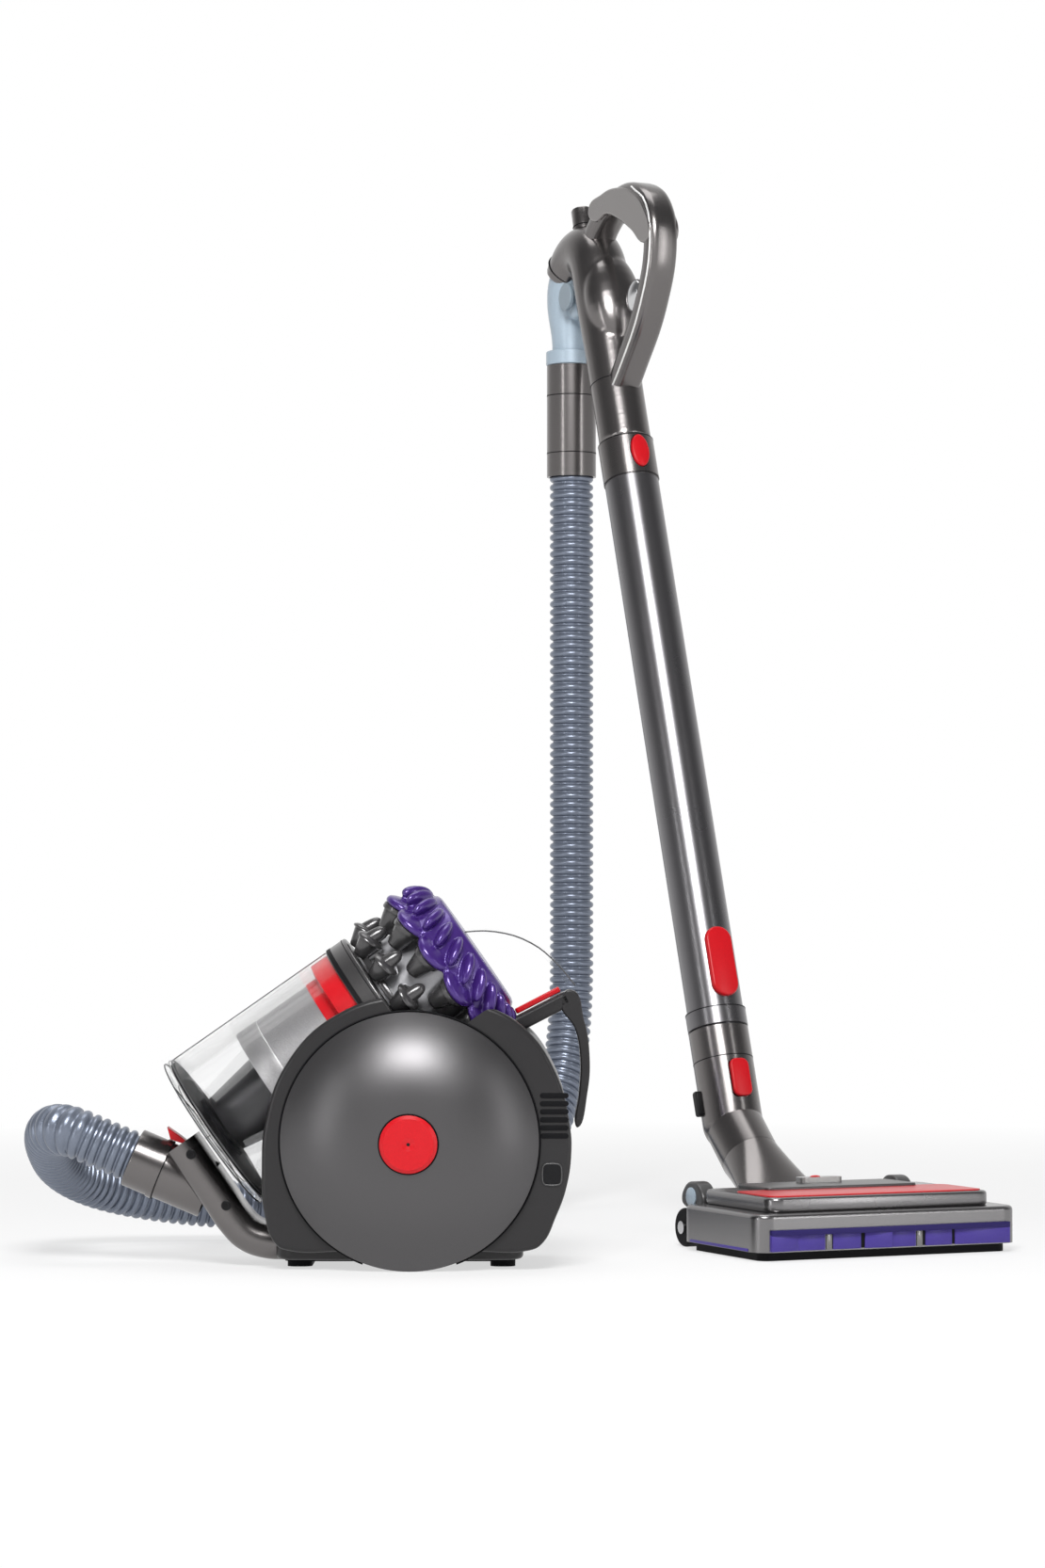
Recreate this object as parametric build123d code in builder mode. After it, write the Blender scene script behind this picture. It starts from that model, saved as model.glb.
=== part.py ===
"""Ball canister vacuum cleaner with a hose, a telescopic wand and a floor head.

The origin is on the floor under the middle of the wheel axle. +Z is up, +X points to the rear of
the canister and +Y to its far side. All sizes are in millimetres.
"""

from math import cos, radians, sin, tan
import os

from build123d import *

os.makedirs("parts", exist_ok=True)

# Driving dimensions of the canister
wheel_radius = 112.6
wheel_rim_y = 81.0
wheel_face_y = 121.0
wheel_wall = 3.0
axle_radius = 14.0
button_radius = 25.0
button_travel = 3.0
casing_radius = 127.0
casing_half = 79.5
casing_wall = 3.0
casing_bottom = 20.0
rear_x = 139.0
rear_half = 58.0
tray_bottom = 8.0
tray_front_x = -118.0
tray_rear_x = 99.0

# Driving dimensions of the bin and its cyclones, measured along the tilted bin axis from its base
bin_tilt = 35.0
bin_base_x = -172.0
bin_base_z = 119.0
bin_radius = 74.0
bin_wall = 2.5
bin_length = 168.0
shroud_radius = 59.5
shroud_start = 61.0
mesh_start = 82.0
red_start = 137.0
collar_start = 171.0
collar_end = 189.0
collar_radius = 75.0
drum_radius = 50.0
drum_end = 248.0
cap_end = 270.0
cap_core_radius = 68.0
lobe_ring_radius = 65.0
lobe_radius = 19.0
cyclone_count = 12
flap_thickness = 6.0

# Driving dimensions of the hose and its inlet
hose_radius = 23.0
hose_bore_radius = 20.0
hose_groove = 1.8
rib_pitch = 8.8
inlet_slope = 23.0
inlet_x = -249.0
inlet_z = 94.0
cuff_wall = 3.0
inlet_cuff_length = 24.0

# Driving dimensions of the wand, neck and head
head_yaw = 25.0
head_x = 399.5
head_y = 126.0
head_width = 272.0
head_depth = 150.0
head_bottom = 8.0
head_top = 42.0
deck_top = 55.0
knee_back = 228.5
knee_z = 105.0
wand_lean = 18.75
tube_radius = 27.75
tube_wall = 1.8
inner_radius = 25.0
inner_wall = 1.6
outer_tube_start = 113.0
outer_tube_end = 681.0
sleeve_end = 725.0
pipe_radius = 27.0
pipe_end = 925.0
hose_back = 590.0
cuff_bottom = 769.0
cuff_top = 887.0
swivel_back = 553.0
swivel_z = 955.0
swivel_radius = 39.0
swivel_half = 22.0

# Clearances
running_fit = 0.05
moving_gap = 0.4
seat_gap = 0.2

# Frames shared by the parts
axle = Axis((0, 0, wheel_radius), (0, 1, 0))
axle_plane = Plane(origin=(0, 0, wheel_radius), x_dir=(0, 1, 0), z_dir=(1, 0, 0))
bin_axis = Vector(cos(radians(bin_tilt)), 0, sin(radians(bin_tilt)))
bin_up = Vector(-sin(radians(bin_tilt)), 0, cos(radians(bin_tilt)))
bin_plane = Plane(origin=(bin_base_x, 0, bin_base_z), x_dir=bin_up, z_dir=bin_axis)
inlet_axis = Vector(cos(radians(inlet_slope)), 0, -sin(radians(inlet_slope)))
inlet_mouth = Vector(inlet_x, 0, inlet_z)
inlet_plane = Plane(origin=inlet_mouth, x_dir=(0, 1, 0), z_dir=inlet_axis)
across = Vector(cos(radians(head_yaw)), sin(radians(head_yaw)), 0)
backward = Vector(-sin(radians(head_yaw)), cos(radians(head_yaw)), 0)
upward = Vector(0, 0, 1)
head_origin = Vector(head_x, head_y, 0)
head_plane = Plane(origin=head_origin, x_dir=across, z_dir=(0, 0, 1))
side_plane = Plane(origin=head_origin, x_dir=backward, z_dir=across)
wand_axis = backward * sin(radians(wand_lean)) + upward * cos(radians(wand_lean))
wand_front = upward * sin(radians(wand_lean)) - backward * cos(radians(wand_lean))
knee = head_origin + backward * knee_back + upward * knee_z
hose_top_point = head_origin + backward * hose_back


def wand_plane(distance):
    """Plane across the wand at a distance from the knee, with its X axis across the head."""
    return Plane(origin=knee + wand_axis * distance, x_dir=across, z_dir=wand_axis)


def front_plane(distance, reach):
    """Plane on the front of the wand, facing forward, with its X axis across the head."""
    return Plane(origin=knee + wand_axis * distance + wand_front * reach, x_dir=across, z_dir=wand_front)


def hose_plane(height):
    """Level plane on the upright run of the hose."""
    return Plane(origin=hose_top_point + upward * height, x_dir=across, z_dir=(0, 0, 1))


# Room kept free for the bin, open towards the top so that the bin lifts straight out
room_radius = collar_radius + 1.2
room_start = -60.0
with BuildPart() as bin_room:
    with BuildSketch(bin_plane.offset(room_start)):
        Circle(room_radius)
        Rectangle(200, 2 * room_radius, align=(Align.MIN, Align.CENTER))
    extrude(amount=drum_end - 14 - room_start)
    with BuildSketch(bin_plane.offset(drum_end - 14)):
        Circle(lobe_ring_radius + lobe_radius + 2)
        Rectangle(200, 2 * (lobe_ring_radius + lobe_radius + 2), align=(Align.MIN, Align.CENTER))
    extrude(amount=90)

with BuildPart() as bin_room_outside:
    with BuildSketch(bin_plane.offset(room_start)):
        Circle(room_radius + casing_wall)
        Rectangle(200, 2 * (room_radius + casing_wall), align=(Align.MIN, Align.CENTER))
    extrude(amount=drum_end - 17 - room_start)
    with BuildSketch(bin_plane.offset(drum_end - 17)):
        Circle(lobe_ring_radius + lobe_radius + 5)
        Rectangle(200, 200, align=(Align.MIN, Align.CENTER))
    extrude(amount=90)

# Rear bulge of the casing, outside and inside
bulge_profile = [
    (40, casing_bottom),
    (104, casing_bottom),
    (126, 58),
    (rear_x, 96),
    (rear_x, 128),
    (128, 158),
    (108, 176),
    (40, 176),
]
with BuildPart() as rear_bulge:
    with BuildSketch(Plane.XZ):
        Polygon(*bulge_profile, align=None)
    extrude(amount=rear_half, both=True)
    fillet(rear_bulge.edges().filter_by(Axis.Y).group_by(Axis.X)[-1], 14)
    fillet(rear_bulge.faces().sort_by(Axis.Y)[0].edges().filter_by(lambda e: e.center().X > 60), 9)
    fillet(rear_bulge.faces().sort_by(Axis.Y)[-1].edges().filter_by(lambda e: e.center().X > 60), 9)

with BuildPart() as casing_cavity:
    with BuildSketch(axle_plane):
        Rectangle(
            2 * (casing_half - casing_wall),
            casing_radius - 2 * casing_wall,
            align=(Align.CENTER, Align.MIN),
        )
    revolve(axis=axle)
    with BuildSketch(Plane.XZ):
        Polygon(*[(x - 4, z) for x, z in bulge_profile], align=None)
    extrude(amount=rear_half - 10, both=True)
    add(bin_room_outside.part, mode=Mode.SUBTRACT)
    with Locations((0, 0, casing_bottom + casing_wall)):
        Box(400, 400, 200, align=(Align.CENTER, Align.CENTER, Align.MAX), mode=Mode.SUBTRACT)

# Casing: a barrel between the wheels, with a saddle for the bin and a bulge at the rear
grille_start_x = 104.0
grille_bottom = 114.0
grille_top = 156.0
outlet_x = 116.0
outlet_z = 80.0
outlet_width = 20.0
outlet_height = 22.0
with BuildPart() as casing_whole:
    with BuildSketch(axle_plane):
        with BuildLine():
            Line((-casing_half, 0), (-casing_half, casing_radius - 3))
            ThreePointArc(
                (-casing_half, casing_radius - 3),
                (0, casing_radius),
                (casing_half, casing_radius - 3),
            )
            Line((casing_half, casing_radius - 3), (casing_half, 0))
            Line((casing_half, 0), (-casing_half, 0))
        make_face()
    revolve(axis=axle)
    fillet(casing_whole.edges().filter_by(GeomType.CIRCLE), 7)
    add(rear_bulge.part)
    with Locations((0, 0, casing_bottom)):
        Box(400, 400, 200, align=(Align.CENTER, Align.CENTER, Align.MAX), mode=Mode.SUBTRACT)
    add(bin_room.part, mode=Mode.SUBTRACT)
    add(casing_cavity.part, mode=Mode.SUBTRACT)
    with BuildSketch(bin_plane.offset(room_start)):
        Rectangle(bin_radius + 18, 52, align=(Align.MAX, Align.CENTER))
    extrude(amount=40 - room_start, mode=Mode.SUBTRACT)
    with BuildSketch(Plane.XZ):
        with Locations((grille_start_x, grille_bottom)):
            Rectangle(80, grille_top - grille_bottom, align=(Align.MIN, Align.MIN))
    extrude(amount=rear_half + 20, both=True, mode=Mode.SUBTRACT)
    with BuildSketch(Plane.XZ.offset(rear_half - 12)):
        with Locations((outlet_x, outlet_z)):
            RectangleRounded(outlet_width + 2 * seat_gap, outlet_height + 2 * seat_gap, 5)
    extrude(amount=40, mode=Mode.SUBTRACT)
    with BuildSketch(axle_plane.offset(0)):
        Rectangle(2 * casing_half + 2, axle_radius - 4 + running_fit, align=(Align.CENTER, Align.MIN))
    revolve(axis=axle, mode=Mode.SUBTRACT)

with BuildPart() as casing_near:
    add(casing_whole.part)
    split(bisect_by=Plane.XZ, keep=Keep.TOP)
casing_near.part.label = "casing_near"
export_step(casing_near.part, "parts/casing_near.step")

with BuildPart() as casing_far:
    add(casing_whole.part)
    split(bisect_by=Plane.XZ, keep=Keep.BOTTOM)
casing_far.part.label = "casing_far"
export_step(casing_far.part, "parts/casing_far.step")

# Exhaust grille that fills the rear window of the casing
slot_count = 6
slot_height = 3.2
slot_pitch = (grille_top - grille_bottom) / slot_count
with BuildPart() as exhaust_grille:
    add(rear_bulge.part)
    with BuildSketch(Plane.XZ):
        with Locations((grille_start_x + seat_gap, grille_bottom + seat_gap)):
            Rectangle(
                60,
                grille_top - grille_bottom - 2 * seat_gap,
                align=(Align.MIN, Align.MIN),
            )
    extrude(amount=rear_half + 5, both=True, mode=Mode.INTERSECT)
    with BuildSketch(Plane.XZ):
        with Locations(*[(grille_start_x + 10, grille_bottom + slot_pitch * (i + 0.5)) for i in range(slot_count)]):
            Rectangle(60, slot_height, align=(Align.MIN, Align.CENTER))
    extrude(amount=rear_half + 5, both=True, mode=Mode.SUBTRACT)
exhaust_grille.part.label = "exhaust_grille"
export_step(exhaust_grille.part, "parts/exhaust_grille.step")

# Outlet for the mains lead in the near side of the casing
with BuildPart() as cord_outlet:
    with BuildSketch(Plane.XZ.offset(rear_half - 12)):
        with Locations((outlet_x, outlet_z)):
            RectangleRounded(outlet_width, outlet_height, 5)
    extrude(amount=13)
    with BuildSketch(Plane.XZ.offset(rear_half - 9)):
        with Locations((outlet_x, outlet_z)):
            RectangleRounded(outlet_width - 6, outlet_height - 6, 3)
    extrude(amount=20, mode=Mode.SUBTRACT)
cord_outlet.part.label = "cord_outlet"
export_step(cord_outlet.part, "parts/cord_outlet.step")

# Base tray under the casing and the glide plate that rests on the floor
tray_half = 64.0
tray_middle = (tray_front_x + tray_rear_x) / 2
with BuildPart() as base_tray:
    with BuildSketch(Plane.XY.offset(tray_bottom)):
        with Locations((tray_middle, 0)):
            RectangleRounded(tray_rear_x - tray_front_x, 2 * tray_half, 18)
    extrude(amount=casing_bottom - tray_bottom)
    fillet(base_tray.faces().sort_by(Axis.Z)[0].edges(), 4)
    with BuildSketch(Plane.XY.offset(casing_bottom)):
        with Locations((tray_middle, 0)):
            RectangleRounded(tray_rear_x - tray_front_x - 70, 2 * tray_half - 24, 12)
    extrude(amount=-8, mode=Mode.SUBTRACT)
base_tray.part.label = "base_tray"
export_step(base_tray.part, "parts/base_tray.step")

glide_half = 40.0
glide_spots = [tray_front_x + 20, 0, tray_rear_x - 18]
with BuildPart() as glide_plate:
    with BuildSketch(Plane.XY.offset(tray_bottom - 3)):
        with Locations((tray_middle, 0)):
            RectangleRounded(tray_rear_x - tray_front_x - 14, 2 * glide_half, 10)
    extrude(amount=3)
    with BuildSketch(Plane.XY):
        with Locations(*[(x, 0) for x in glide_spots]):
            RectangleRounded(22, 2 * glide_half - 8, 8)
    extrude(amount=tray_bottom - 3)
glide_plate.part.label = "glide_plate"
export_step(glide_plate.part, "parts/glide_plate.step")

# Cradle arm in front of the bin, and the inlet that passes through it
arm_thickness = 20.0
arm_half = 40.0
arm_offset = 36.0
arm_top = 6.0
arm_bottom = -86.0
arm_low_z = tray_bottom + arm_thickness / 2
arm_start = bin_plane.origin - bin_axis * arm_offset + bin_up * arm_top
arm_bend = bin_plane.origin - bin_axis * arm_offset + bin_up * arm_bottom
arm_foot_x = arm_bend.X + (arm_bend.Z - arm_low_z) * tan(radians(bin_tilt))
with BuildPart() as cradle_arm:
    with BuildSketch(Plane.XZ):
        with BuildLine():
            FilletPolyline(
                (arm_start.X, arm_start.Z),
                (arm_foot_x, arm_low_z),
                (tray_front_x, arm_low_z),
                radius=26,
            )
        trace(line_width=arm_thickness)
    extrude(amount=arm_half, both=True)
    fillet(cradle_arm.edges().filter_by(Axis.Y).sort_by(Axis.Z)[-2:], 6)
    with BuildSketch(inlet_plane):
        Circle(hose_radius + cuff_wall + running_fit)
    extrude(amount=90, mode=Mode.SUBTRACT)
cradle_arm.part.label = "cradle_arm"
export_step(cradle_arm.part, "parts/cradle_arm.step")

bore_gap = 0.4
with BuildPart() as inlet_pipe:
    with BuildSketch(inlet_plane.offset(inlet_cuff_length)):
        Circle(hose_radius + cuff_wall)
        Circle(hose_radius + bore_gap, mode=Mode.SUBTRACT)
    extrude(amount=50)
    with BuildSketch(inlet_plane.offset(inlet_cuff_length)):
        Circle(hose_radius + cuff_wall + 1.5)
        Circle(hose_radius + bore_gap, mode=Mode.SUBTRACT)
    extrude(amount=5)
inlet_pipe.part.label = "inlet_pipe"
export_step(inlet_pipe.part, "parts/inlet_pipe.step")

with BuildPart() as inlet_cuff:
    with BuildSketch(inlet_plane):
        Circle(hose_radius + cuff_wall + 0.5)
        Circle(hose_radius + bore_gap, mode=Mode.SUBTRACT)
    extrude(amount=inlet_cuff_length)
    fillet(inlet_cuff.edges().group_by(Axis.X)[0].sort_by(SortBy.LENGTH)[-1], 1.5)
inlet_cuff.part.label = "inlet_cuff"
export_step(inlet_cuff.part, "parts/inlet_cuff.step")

# Red catch that locks the hose cuff, hinged at the top of the cradle arm
catch_half = 9.0
catch_lift = hose_radius + cuff_wall + 2.2
catch_plane = Plane(origin=inlet_mouth, x_dir=inlet_axis, z_dir=(0, -1, 0))
with BuildPart() as hose_catch:
    with BuildSketch(catch_plane):
        Polygon(
            (inlet_cuff_length + 12, catch_lift),
            (inlet_cuff_length + 12, catch_lift + 5),
            (inlet_cuff_length - 4, catch_lift + 13),
            (inlet_cuff_length - 8, catch_lift + 10),
            (inlet_cuff_length - 8, catch_lift),
            align=None,
        )
    extrude(amount=catch_half, both=True)
    fillet(hose_catch.edges().filter_by(Axis.Y), 1.2)
hose_catch.part.label = "hose_catch"
export_step(hose_catch.part, "parts/hose_catch.step")

# Wheels: domed covers that turn on stub axles fixed to the casing
hub_end_y = wheel_face_y - 12
recess_radius = button_radius + 1.2

with BuildPart() as wheel_near:
    with BuildSketch(axle_plane):
        with BuildLine():
            Line((-wheel_rim_y, wheel_radius), (-wheel_rim_y - 5, wheel_radius))
            Spline(
                (-wheel_rim_y - 5, wheel_radius),
                (-wheel_face_y + 8, wheel_radius * 0.62),
                (-wheel_face_y, recess_radius),
            )
            Polyline(
                (-wheel_face_y, recess_radius),
                (-wheel_face_y + 9, recess_radius),
                (-wheel_face_y + 9, axle_radius + running_fit),
                (-wheel_rim_y - 4, axle_radius + running_fit),
                (-wheel_rim_y - 4, axle_radius + 4),
                (-wheel_face_y + 13, axle_radius + 4),
                (-wheel_face_y + 13, wheel_radius * 0.55),
            )
            Spline(
                (-wheel_face_y + 13, wheel_radius * 0.55),
                (-wheel_rim_y - 16, wheel_radius * 0.84),
                (-wheel_rim_y, wheel_radius - 4),
            )
            Line((-wheel_rim_y, wheel_radius - 4), (-wheel_rim_y, wheel_radius))
        make_face()
    revolve(axis=axle)
wheel_near.part.label = "wheel_near"
export_step(wheel_near.part, "parts/wheel_near.step")

with BuildPart() as wheel_far:
    mirror(wheel_near.part, about=Plane.XZ)
wheel_far.part.label = "wheel_far"
export_step(wheel_far.part, "parts/wheel_far.step")

# Stub axles: each has a flange inside the casing wall and a head that keeps the wheel on
stem_radius = 6.0
stub_end_y = wheel_face_y - 6
with BuildPart() as axle_near:
    with BuildSketch(axle_plane):
        Polygon(
            (-casing_half + casing_wall, stem_radius + 0.3),
            (-casing_half + casing_wall, axle_radius - 4),
            (-casing_half, axle_radius - 4),
            (-casing_half, axle_radius),
            (-wheel_face_y + 8.6, axle_radius),
            (-wheel_face_y + 8.6, axle_radius + 4),
            (-stub_end_y, axle_radius + 4),
            (-stub_end_y, stem_radius + 0.3),
            align=None,
        )
    revolve(axis=axle)
axle_near.part.label = "axle_near"
export_step(axle_near.part, "parts/axle_near.step")

# The far axle also carries the spindle of the lead reel
reel_radius = 42.0
reel_start_y = 50.0
reel_width = 24.0
spindle_radius = 8.0
with BuildPart() as axle_far:
    mirror(axle_near.part, about=Plane.XZ)
    with BuildSketch(axle_plane):
        with Locations((reel_start_y - 2, 0)):
            Rectangle(casing_half - casing_wall - reel_start_y + 2, spindle_radius, align=(Align.MIN, Align.MIN))
            Rectangle(1.6, spindle_radius + 4, align=(Align.MIN, Align.MIN))
    revolve(axis=axle)
axle_far.part.label = "axle_far"
export_step(axle_far.part, "parts/axle_far.step")

# Red hub buttons: power on the near side, lead rewind on the far side
with BuildPart() as power_button:
    with BuildSketch(axle_plane):
        Polygon(
            (-wheel_face_y + 20, 0),
            (-wheel_face_y + 20, stem_radius),
            (-wheel_face_y + 1, stem_radius),
            (-wheel_face_y + 1, button_radius),
            (-wheel_face_y - 3, button_radius),
            (-wheel_face_y - 5, button_radius - 3),
            (-wheel_face_y - 5, 6),
            (-wheel_face_y - 3.5, 0),
            align=None,
        )
    revolve(axis=axle)
power_button.part.label = "power_button"
export_step(power_button.part, "parts/power_button.step")

with BuildPart() as rewind_button:
    mirror(power_button.part, about=Plane.XZ)
rewind_button.part.label = "rewind_button"
export_step(rewind_button.part, "parts/rewind_button.step")

# Motor, its fan and the lead reel inside the casing
motor_radius = 44.0
motor_half = 40.0
motor_x = 26.0
motor_z = 74.0
motor_plane = Plane(origin=(motor_x, 0, motor_z), x_dir=(0, 1, 0), z_dir=(1, 0, 0))
motor_axis = Axis((motor_x, 0, motor_z), (0, 1, 0))
shaft_radius = 4.0
with BuildPart() as motor_can:
    with BuildSketch(motor_plane):
        Rectangle(2 * motor_half, motor_radius, align=(Align.CENTER, Align.MIN))
        Rectangle(2 * motor_half - 6, motor_radius - 3, align=(Align.CENTER, Align.MIN), mode=Mode.SUBTRACT)
        Rectangle(2 * motor_half, shaft_radius + running_fit, align=(Align.CENTER, Align.MIN), mode=Mode.SUBTRACT)
    revolve(axis=motor_axis)
    with Locations((motor_x, 0, motor_z - motor_radius + 2)):
        Box(50, 50, motor_z - motor_radius + 2 - casing_bottom - casing_wall, align=(Align.CENTER, Align.CENTER, Align.MAX))
    with BuildSketch(motor_plane):
        Rectangle(2 * motor_half - 6, motor_radius - 3, align=(Align.CENTER, Align.MIN))
    revolve(axis=motor_axis, mode=Mode.SUBTRACT)
motor_can.part.label = "motor_can"
export_step(motor_can.part, "parts/motor_can.step")

with BuildPart() as motor_rotor:
    with BuildSketch(motor_plane):
        Rectangle(2 * motor_half + 6, shaft_radius, align=(Align.CENTER, Align.MIN))
        Rectangle(30, 24, align=(Align.CENTER, Align.MIN))
        with Locations((26, 0)):
            Rectangle(8, motor_radius - 6, align=(Align.CENTER, Align.MIN))
    revolve(axis=motor_axis)
motor_rotor.part.label = "motor_rotor"
export_step(motor_rotor.part, "parts/motor_rotor.step")

with BuildPart() as cord_reel:
    with BuildSketch(axle_plane):
        with Locations((reel_start_y, 0)):
            Rectangle(reel_width, 24, align=(Align.MIN, Align.MIN))
            Rectangle(2, reel_radius, align=(Align.MIN, Align.MIN))
        with Locations((reel_start_y + reel_width, 0)):
            Rectangle(2, reel_radius, align=(Align.MAX, Align.MIN))
        with Locations((reel_start_y, 0)):
            Rectangle(reel_width, spindle_radius + running_fit, align=(Align.MIN, Align.MIN), mode=Mode.SUBTRACT)
    revolve(axis=axle)
cord_reel.part.label = "cord_reel"
export_step(cord_reel.part, "parts/cord_reel.step")

# Clear bin tube with lugs for the flap hinge at its lower edge
hinge_drop = bin_radius + 7
hinge_below = 3.0
hinge_radius = 4.5
hinge_pin_radius = 2.0
knuckle_half = 12.0
hinge_point = bin_plane.origin - bin_up * hinge_drop - bin_axis * hinge_below
hinge_plane = Plane(origin=hinge_point, x_dir=bin_up, z_dir=(0, -1, 0))
with BuildPart() as bin_tube:
    with BuildSketch(bin_plane):
        Circle(bin_radius)
    extrude(amount=bin_length)
    with BuildSketch(hinge_plane):
        Circle(hinge_radius)
        with Locations((3, -8)):
            Rectangle(9, 16)
    extrude(amount=knuckle_half + 8, both=True)
    with BuildSketch(hinge_plane):
        with Locations((hinge_drop - bin_radius - 0.4, 0)):
            Rectangle(26, 60, align=(Align.MAX, Align.CENTER))
    extrude(amount=knuckle_half + moving_gap, both=True, mode=Mode.SUBTRACT)
    with BuildSketch(bin_plane):
        Circle(bin_radius + 1 + moving_gap)
    extrude(amount=-30, mode=Mode.SUBTRACT)
    with BuildSketch(bin_plane.offset(-30)):
        Circle(bin_radius - bin_wall)
    extrude(amount=bin_length + 60, mode=Mode.SUBTRACT)
    with BuildSketch(hinge_plane):
        Circle(hinge_pin_radius + running_fit)
    extrude(amount=40, both=True, mode=Mode.SUBTRACT)
bin_tube.part.label = "bin_tube"
export_step(bin_tube.part, "parts/bin_tube.step")

# Hinged base flap with ribs, its seal, its latch and the hinge pin
flap_gap = 1.0
latch_half = 9.0
with BuildPart() as bin_flap:
    with BuildSketch(bin_plane.offset(-flap_gap)):
        Circle(bin_radius + 1)
    extrude(amount=-flap_thickness)
    with BuildSketch(bin_plane.offset(-flap_gap - flap_thickness)):
        with PolarLocations(34, 8):
            Rectangle(56, 3)
        Circle(12)
    extrude(amount=-3)
    with BuildSketch(hinge_plane):
        Circle(hinge_radius)
        with Locations((8, 0)):
            Rectangle(16, 5)
    extrude(amount=knuckle_half, both=True)
    with BuildSketch(hinge_plane):
        Circle(hinge_pin_radius + running_fit)
    extrude(amount=40, both=True, mode=Mode.SUBTRACT)
    with BuildSketch(bin_plane.offset(-flap_gap - 1)):
        Circle(bin_radius - bin_wall + 1)
    extrude(amount=12, mode=Mode.SUBTRACT)
    with BuildSketch(bin_plane.offset(-flap_gap - flap_thickness)):
        with Locations((bin_radius + 3, 0)):
            Rectangle(5, 2 * latch_half)
    extrude(amount=18)
    with BuildSketch(bin_plane):
        Circle(bin_radius + 0.5)
    extrude(amount=30, mode=Mode.SUBTRACT)
bin_flap.part.label = "bin_flap"
export_step(bin_flap.part, "parts/bin_flap.step")

with BuildPart() as flap_seal:
    with BuildSketch(bin_plane.offset(-flap_gap - 1)):
        Circle(bin_radius - bin_wall - moving_gap)
    extrude(amount=3.5)
    with BuildSketch(bin_plane.offset(1.5)):
        Circle(30)
    extrude(amount=4.5)
flap_seal.part.label = "flap_seal"
export_step(flap_seal.part, "parts/flap_seal.step")

with BuildPart() as flap_pin:
    with BuildSketch(hinge_plane):
        Circle(hinge_pin_radius)
    extrude(amount=knuckle_half + 8, both=True)
flap_pin.part.label = "flap_pin"
export_step(flap_pin.part, "parts/flap_pin.step")

# Inside the bin: dust cone, shroud skirt, slotted shroud and the red separator ring
bin_line = Axis(tuple(bin_plane.origin), tuple(bin_axis))
section_plane = Plane(origin=bin_plane.origin, x_dir=bin_up, z_dir=(0, 1, 0))
section_sign = 1 if section_plane.y_dir.dot(bin_axis) > 0 else -1


def section_points(points):
    """Turn (radius, distance along the bin axis) into points of the section plane."""
    return [(r, section_sign * s) for r, s in points]


with BuildPart() as dust_cone:
    with BuildSketch(section_plane):
        Polygon(
            *section_points(
                [
                    (25, 8),
                    (27, 8),
                    (36, shroud_start),
                    (shroud_radius - 2.5, shroud_start),
                    (shroud_radius - 2.5, shroud_start + 2),
                    (34, shroud_start + 2),
                ]
            ),
            align=None,
        )
    revolve(axis=bin_line)
dust_cone.part.label = "dust_cone"
export_step(dust_cone.part, "parts/dust_cone.step")

shroud_slots = 30
with BuildPart() as shroud:
    with BuildSketch(bin_plane.offset(shroud_start)):
        Circle(shroud_radius + 0.6)
        Circle(shroud_radius - 2.5, mode=Mode.SUBTRACT)
    extrude(amount=mesh_start - shroud_start)
    with BuildSketch(bin_plane.offset(mesh_start)):
        Circle(shroud_radius)
        Circle(shroud_radius - 2, mode=Mode.SUBTRACT)
    extrude(amount=red_start - mesh_start)
    with BuildSketch(bin_plane.offset(mesh_start + 5)):
        with PolarLocations(shroud_radius - 1, shroud_slots):
            Rectangle(8, 6)
    extrude(amount=red_start - mesh_start - 10, mode=Mode.SUBTRACT)
shroud.part.label = "shroud"
export_step(shroud.part, "parts/shroud.step")

separator_inner = shroud_radius - 8
separator_outer = bin_radius - bin_wall - seat_gap
with BuildPart() as separator_ring:
    with BuildSketch(section_plane):
        Polygon(
            *section_points(
                [
                    (separator_inner, red_start),
                    (shroud_radius + 1, red_start),
                    (shroud_radius + 1, red_start + 10),
                    (separator_outer, red_start + 13),
                    (separator_outer, bin_length),
                    (separator_inner, bin_length),
                ]
            ),
            align=None,
        )
    revolve(axis=bin_line)
separator_ring.part.label = "separator_ring"
export_step(separator_ring.part, "parts/separator_ring.step")

with BuildPart() as bin_collar:
    with BuildSketch(bin_plane.offset(bin_length)):
        Circle(bin_radius + 0.4)
        Circle(separator_inner, mode=Mode.SUBTRACT)
    extrude(amount=collar_start - bin_length)
    with BuildSketch(bin_plane.offset(collar_start)):
        Circle(collar_radius)
        Circle(drum_radius - 4, mode=Mode.SUBTRACT)
    extrude(amount=collar_end - collar_start)
    fillet(bin_collar.edges().filter_by(GeomType.CIRCLE).sort_by(SortBy.RADIUS)[-2:].sort_by(Axis.Z)[-1], 2)
    with BuildSketch(bin_plane.offset(collar_end)):
        Circle(drum_radius)
        Circle(drum_radius - 4, mode=Mode.SUBTRACT)
    extrude(amount=drum_end - collar_end)
bin_collar.part.label = "bin_collar"
export_step(bin_collar.part, "parts/bin_collar.step")

# Cyclone pack: two rings of tilted cups round the drum, and the lobed cap
def cup_plane(ring_radius, distance, turn, tilt):
    """Plane at the foot of one cyclone cup, leaning outward from the bin axis."""
    angle = radians(turn)
    outward = bin_plane.x_dir * cos(angle) + bin_plane.y_dir * sin(angle)
    lean = bin_axis * cos(radians(tilt)) + outward * sin(radians(tilt))
    foot = bin_plane.origin + bin_axis * distance + outward * ring_radius
    side = outward.cross(bin_axis)
    return Plane(origin=foot, x_dir=side, z_dir=lean)


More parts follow.
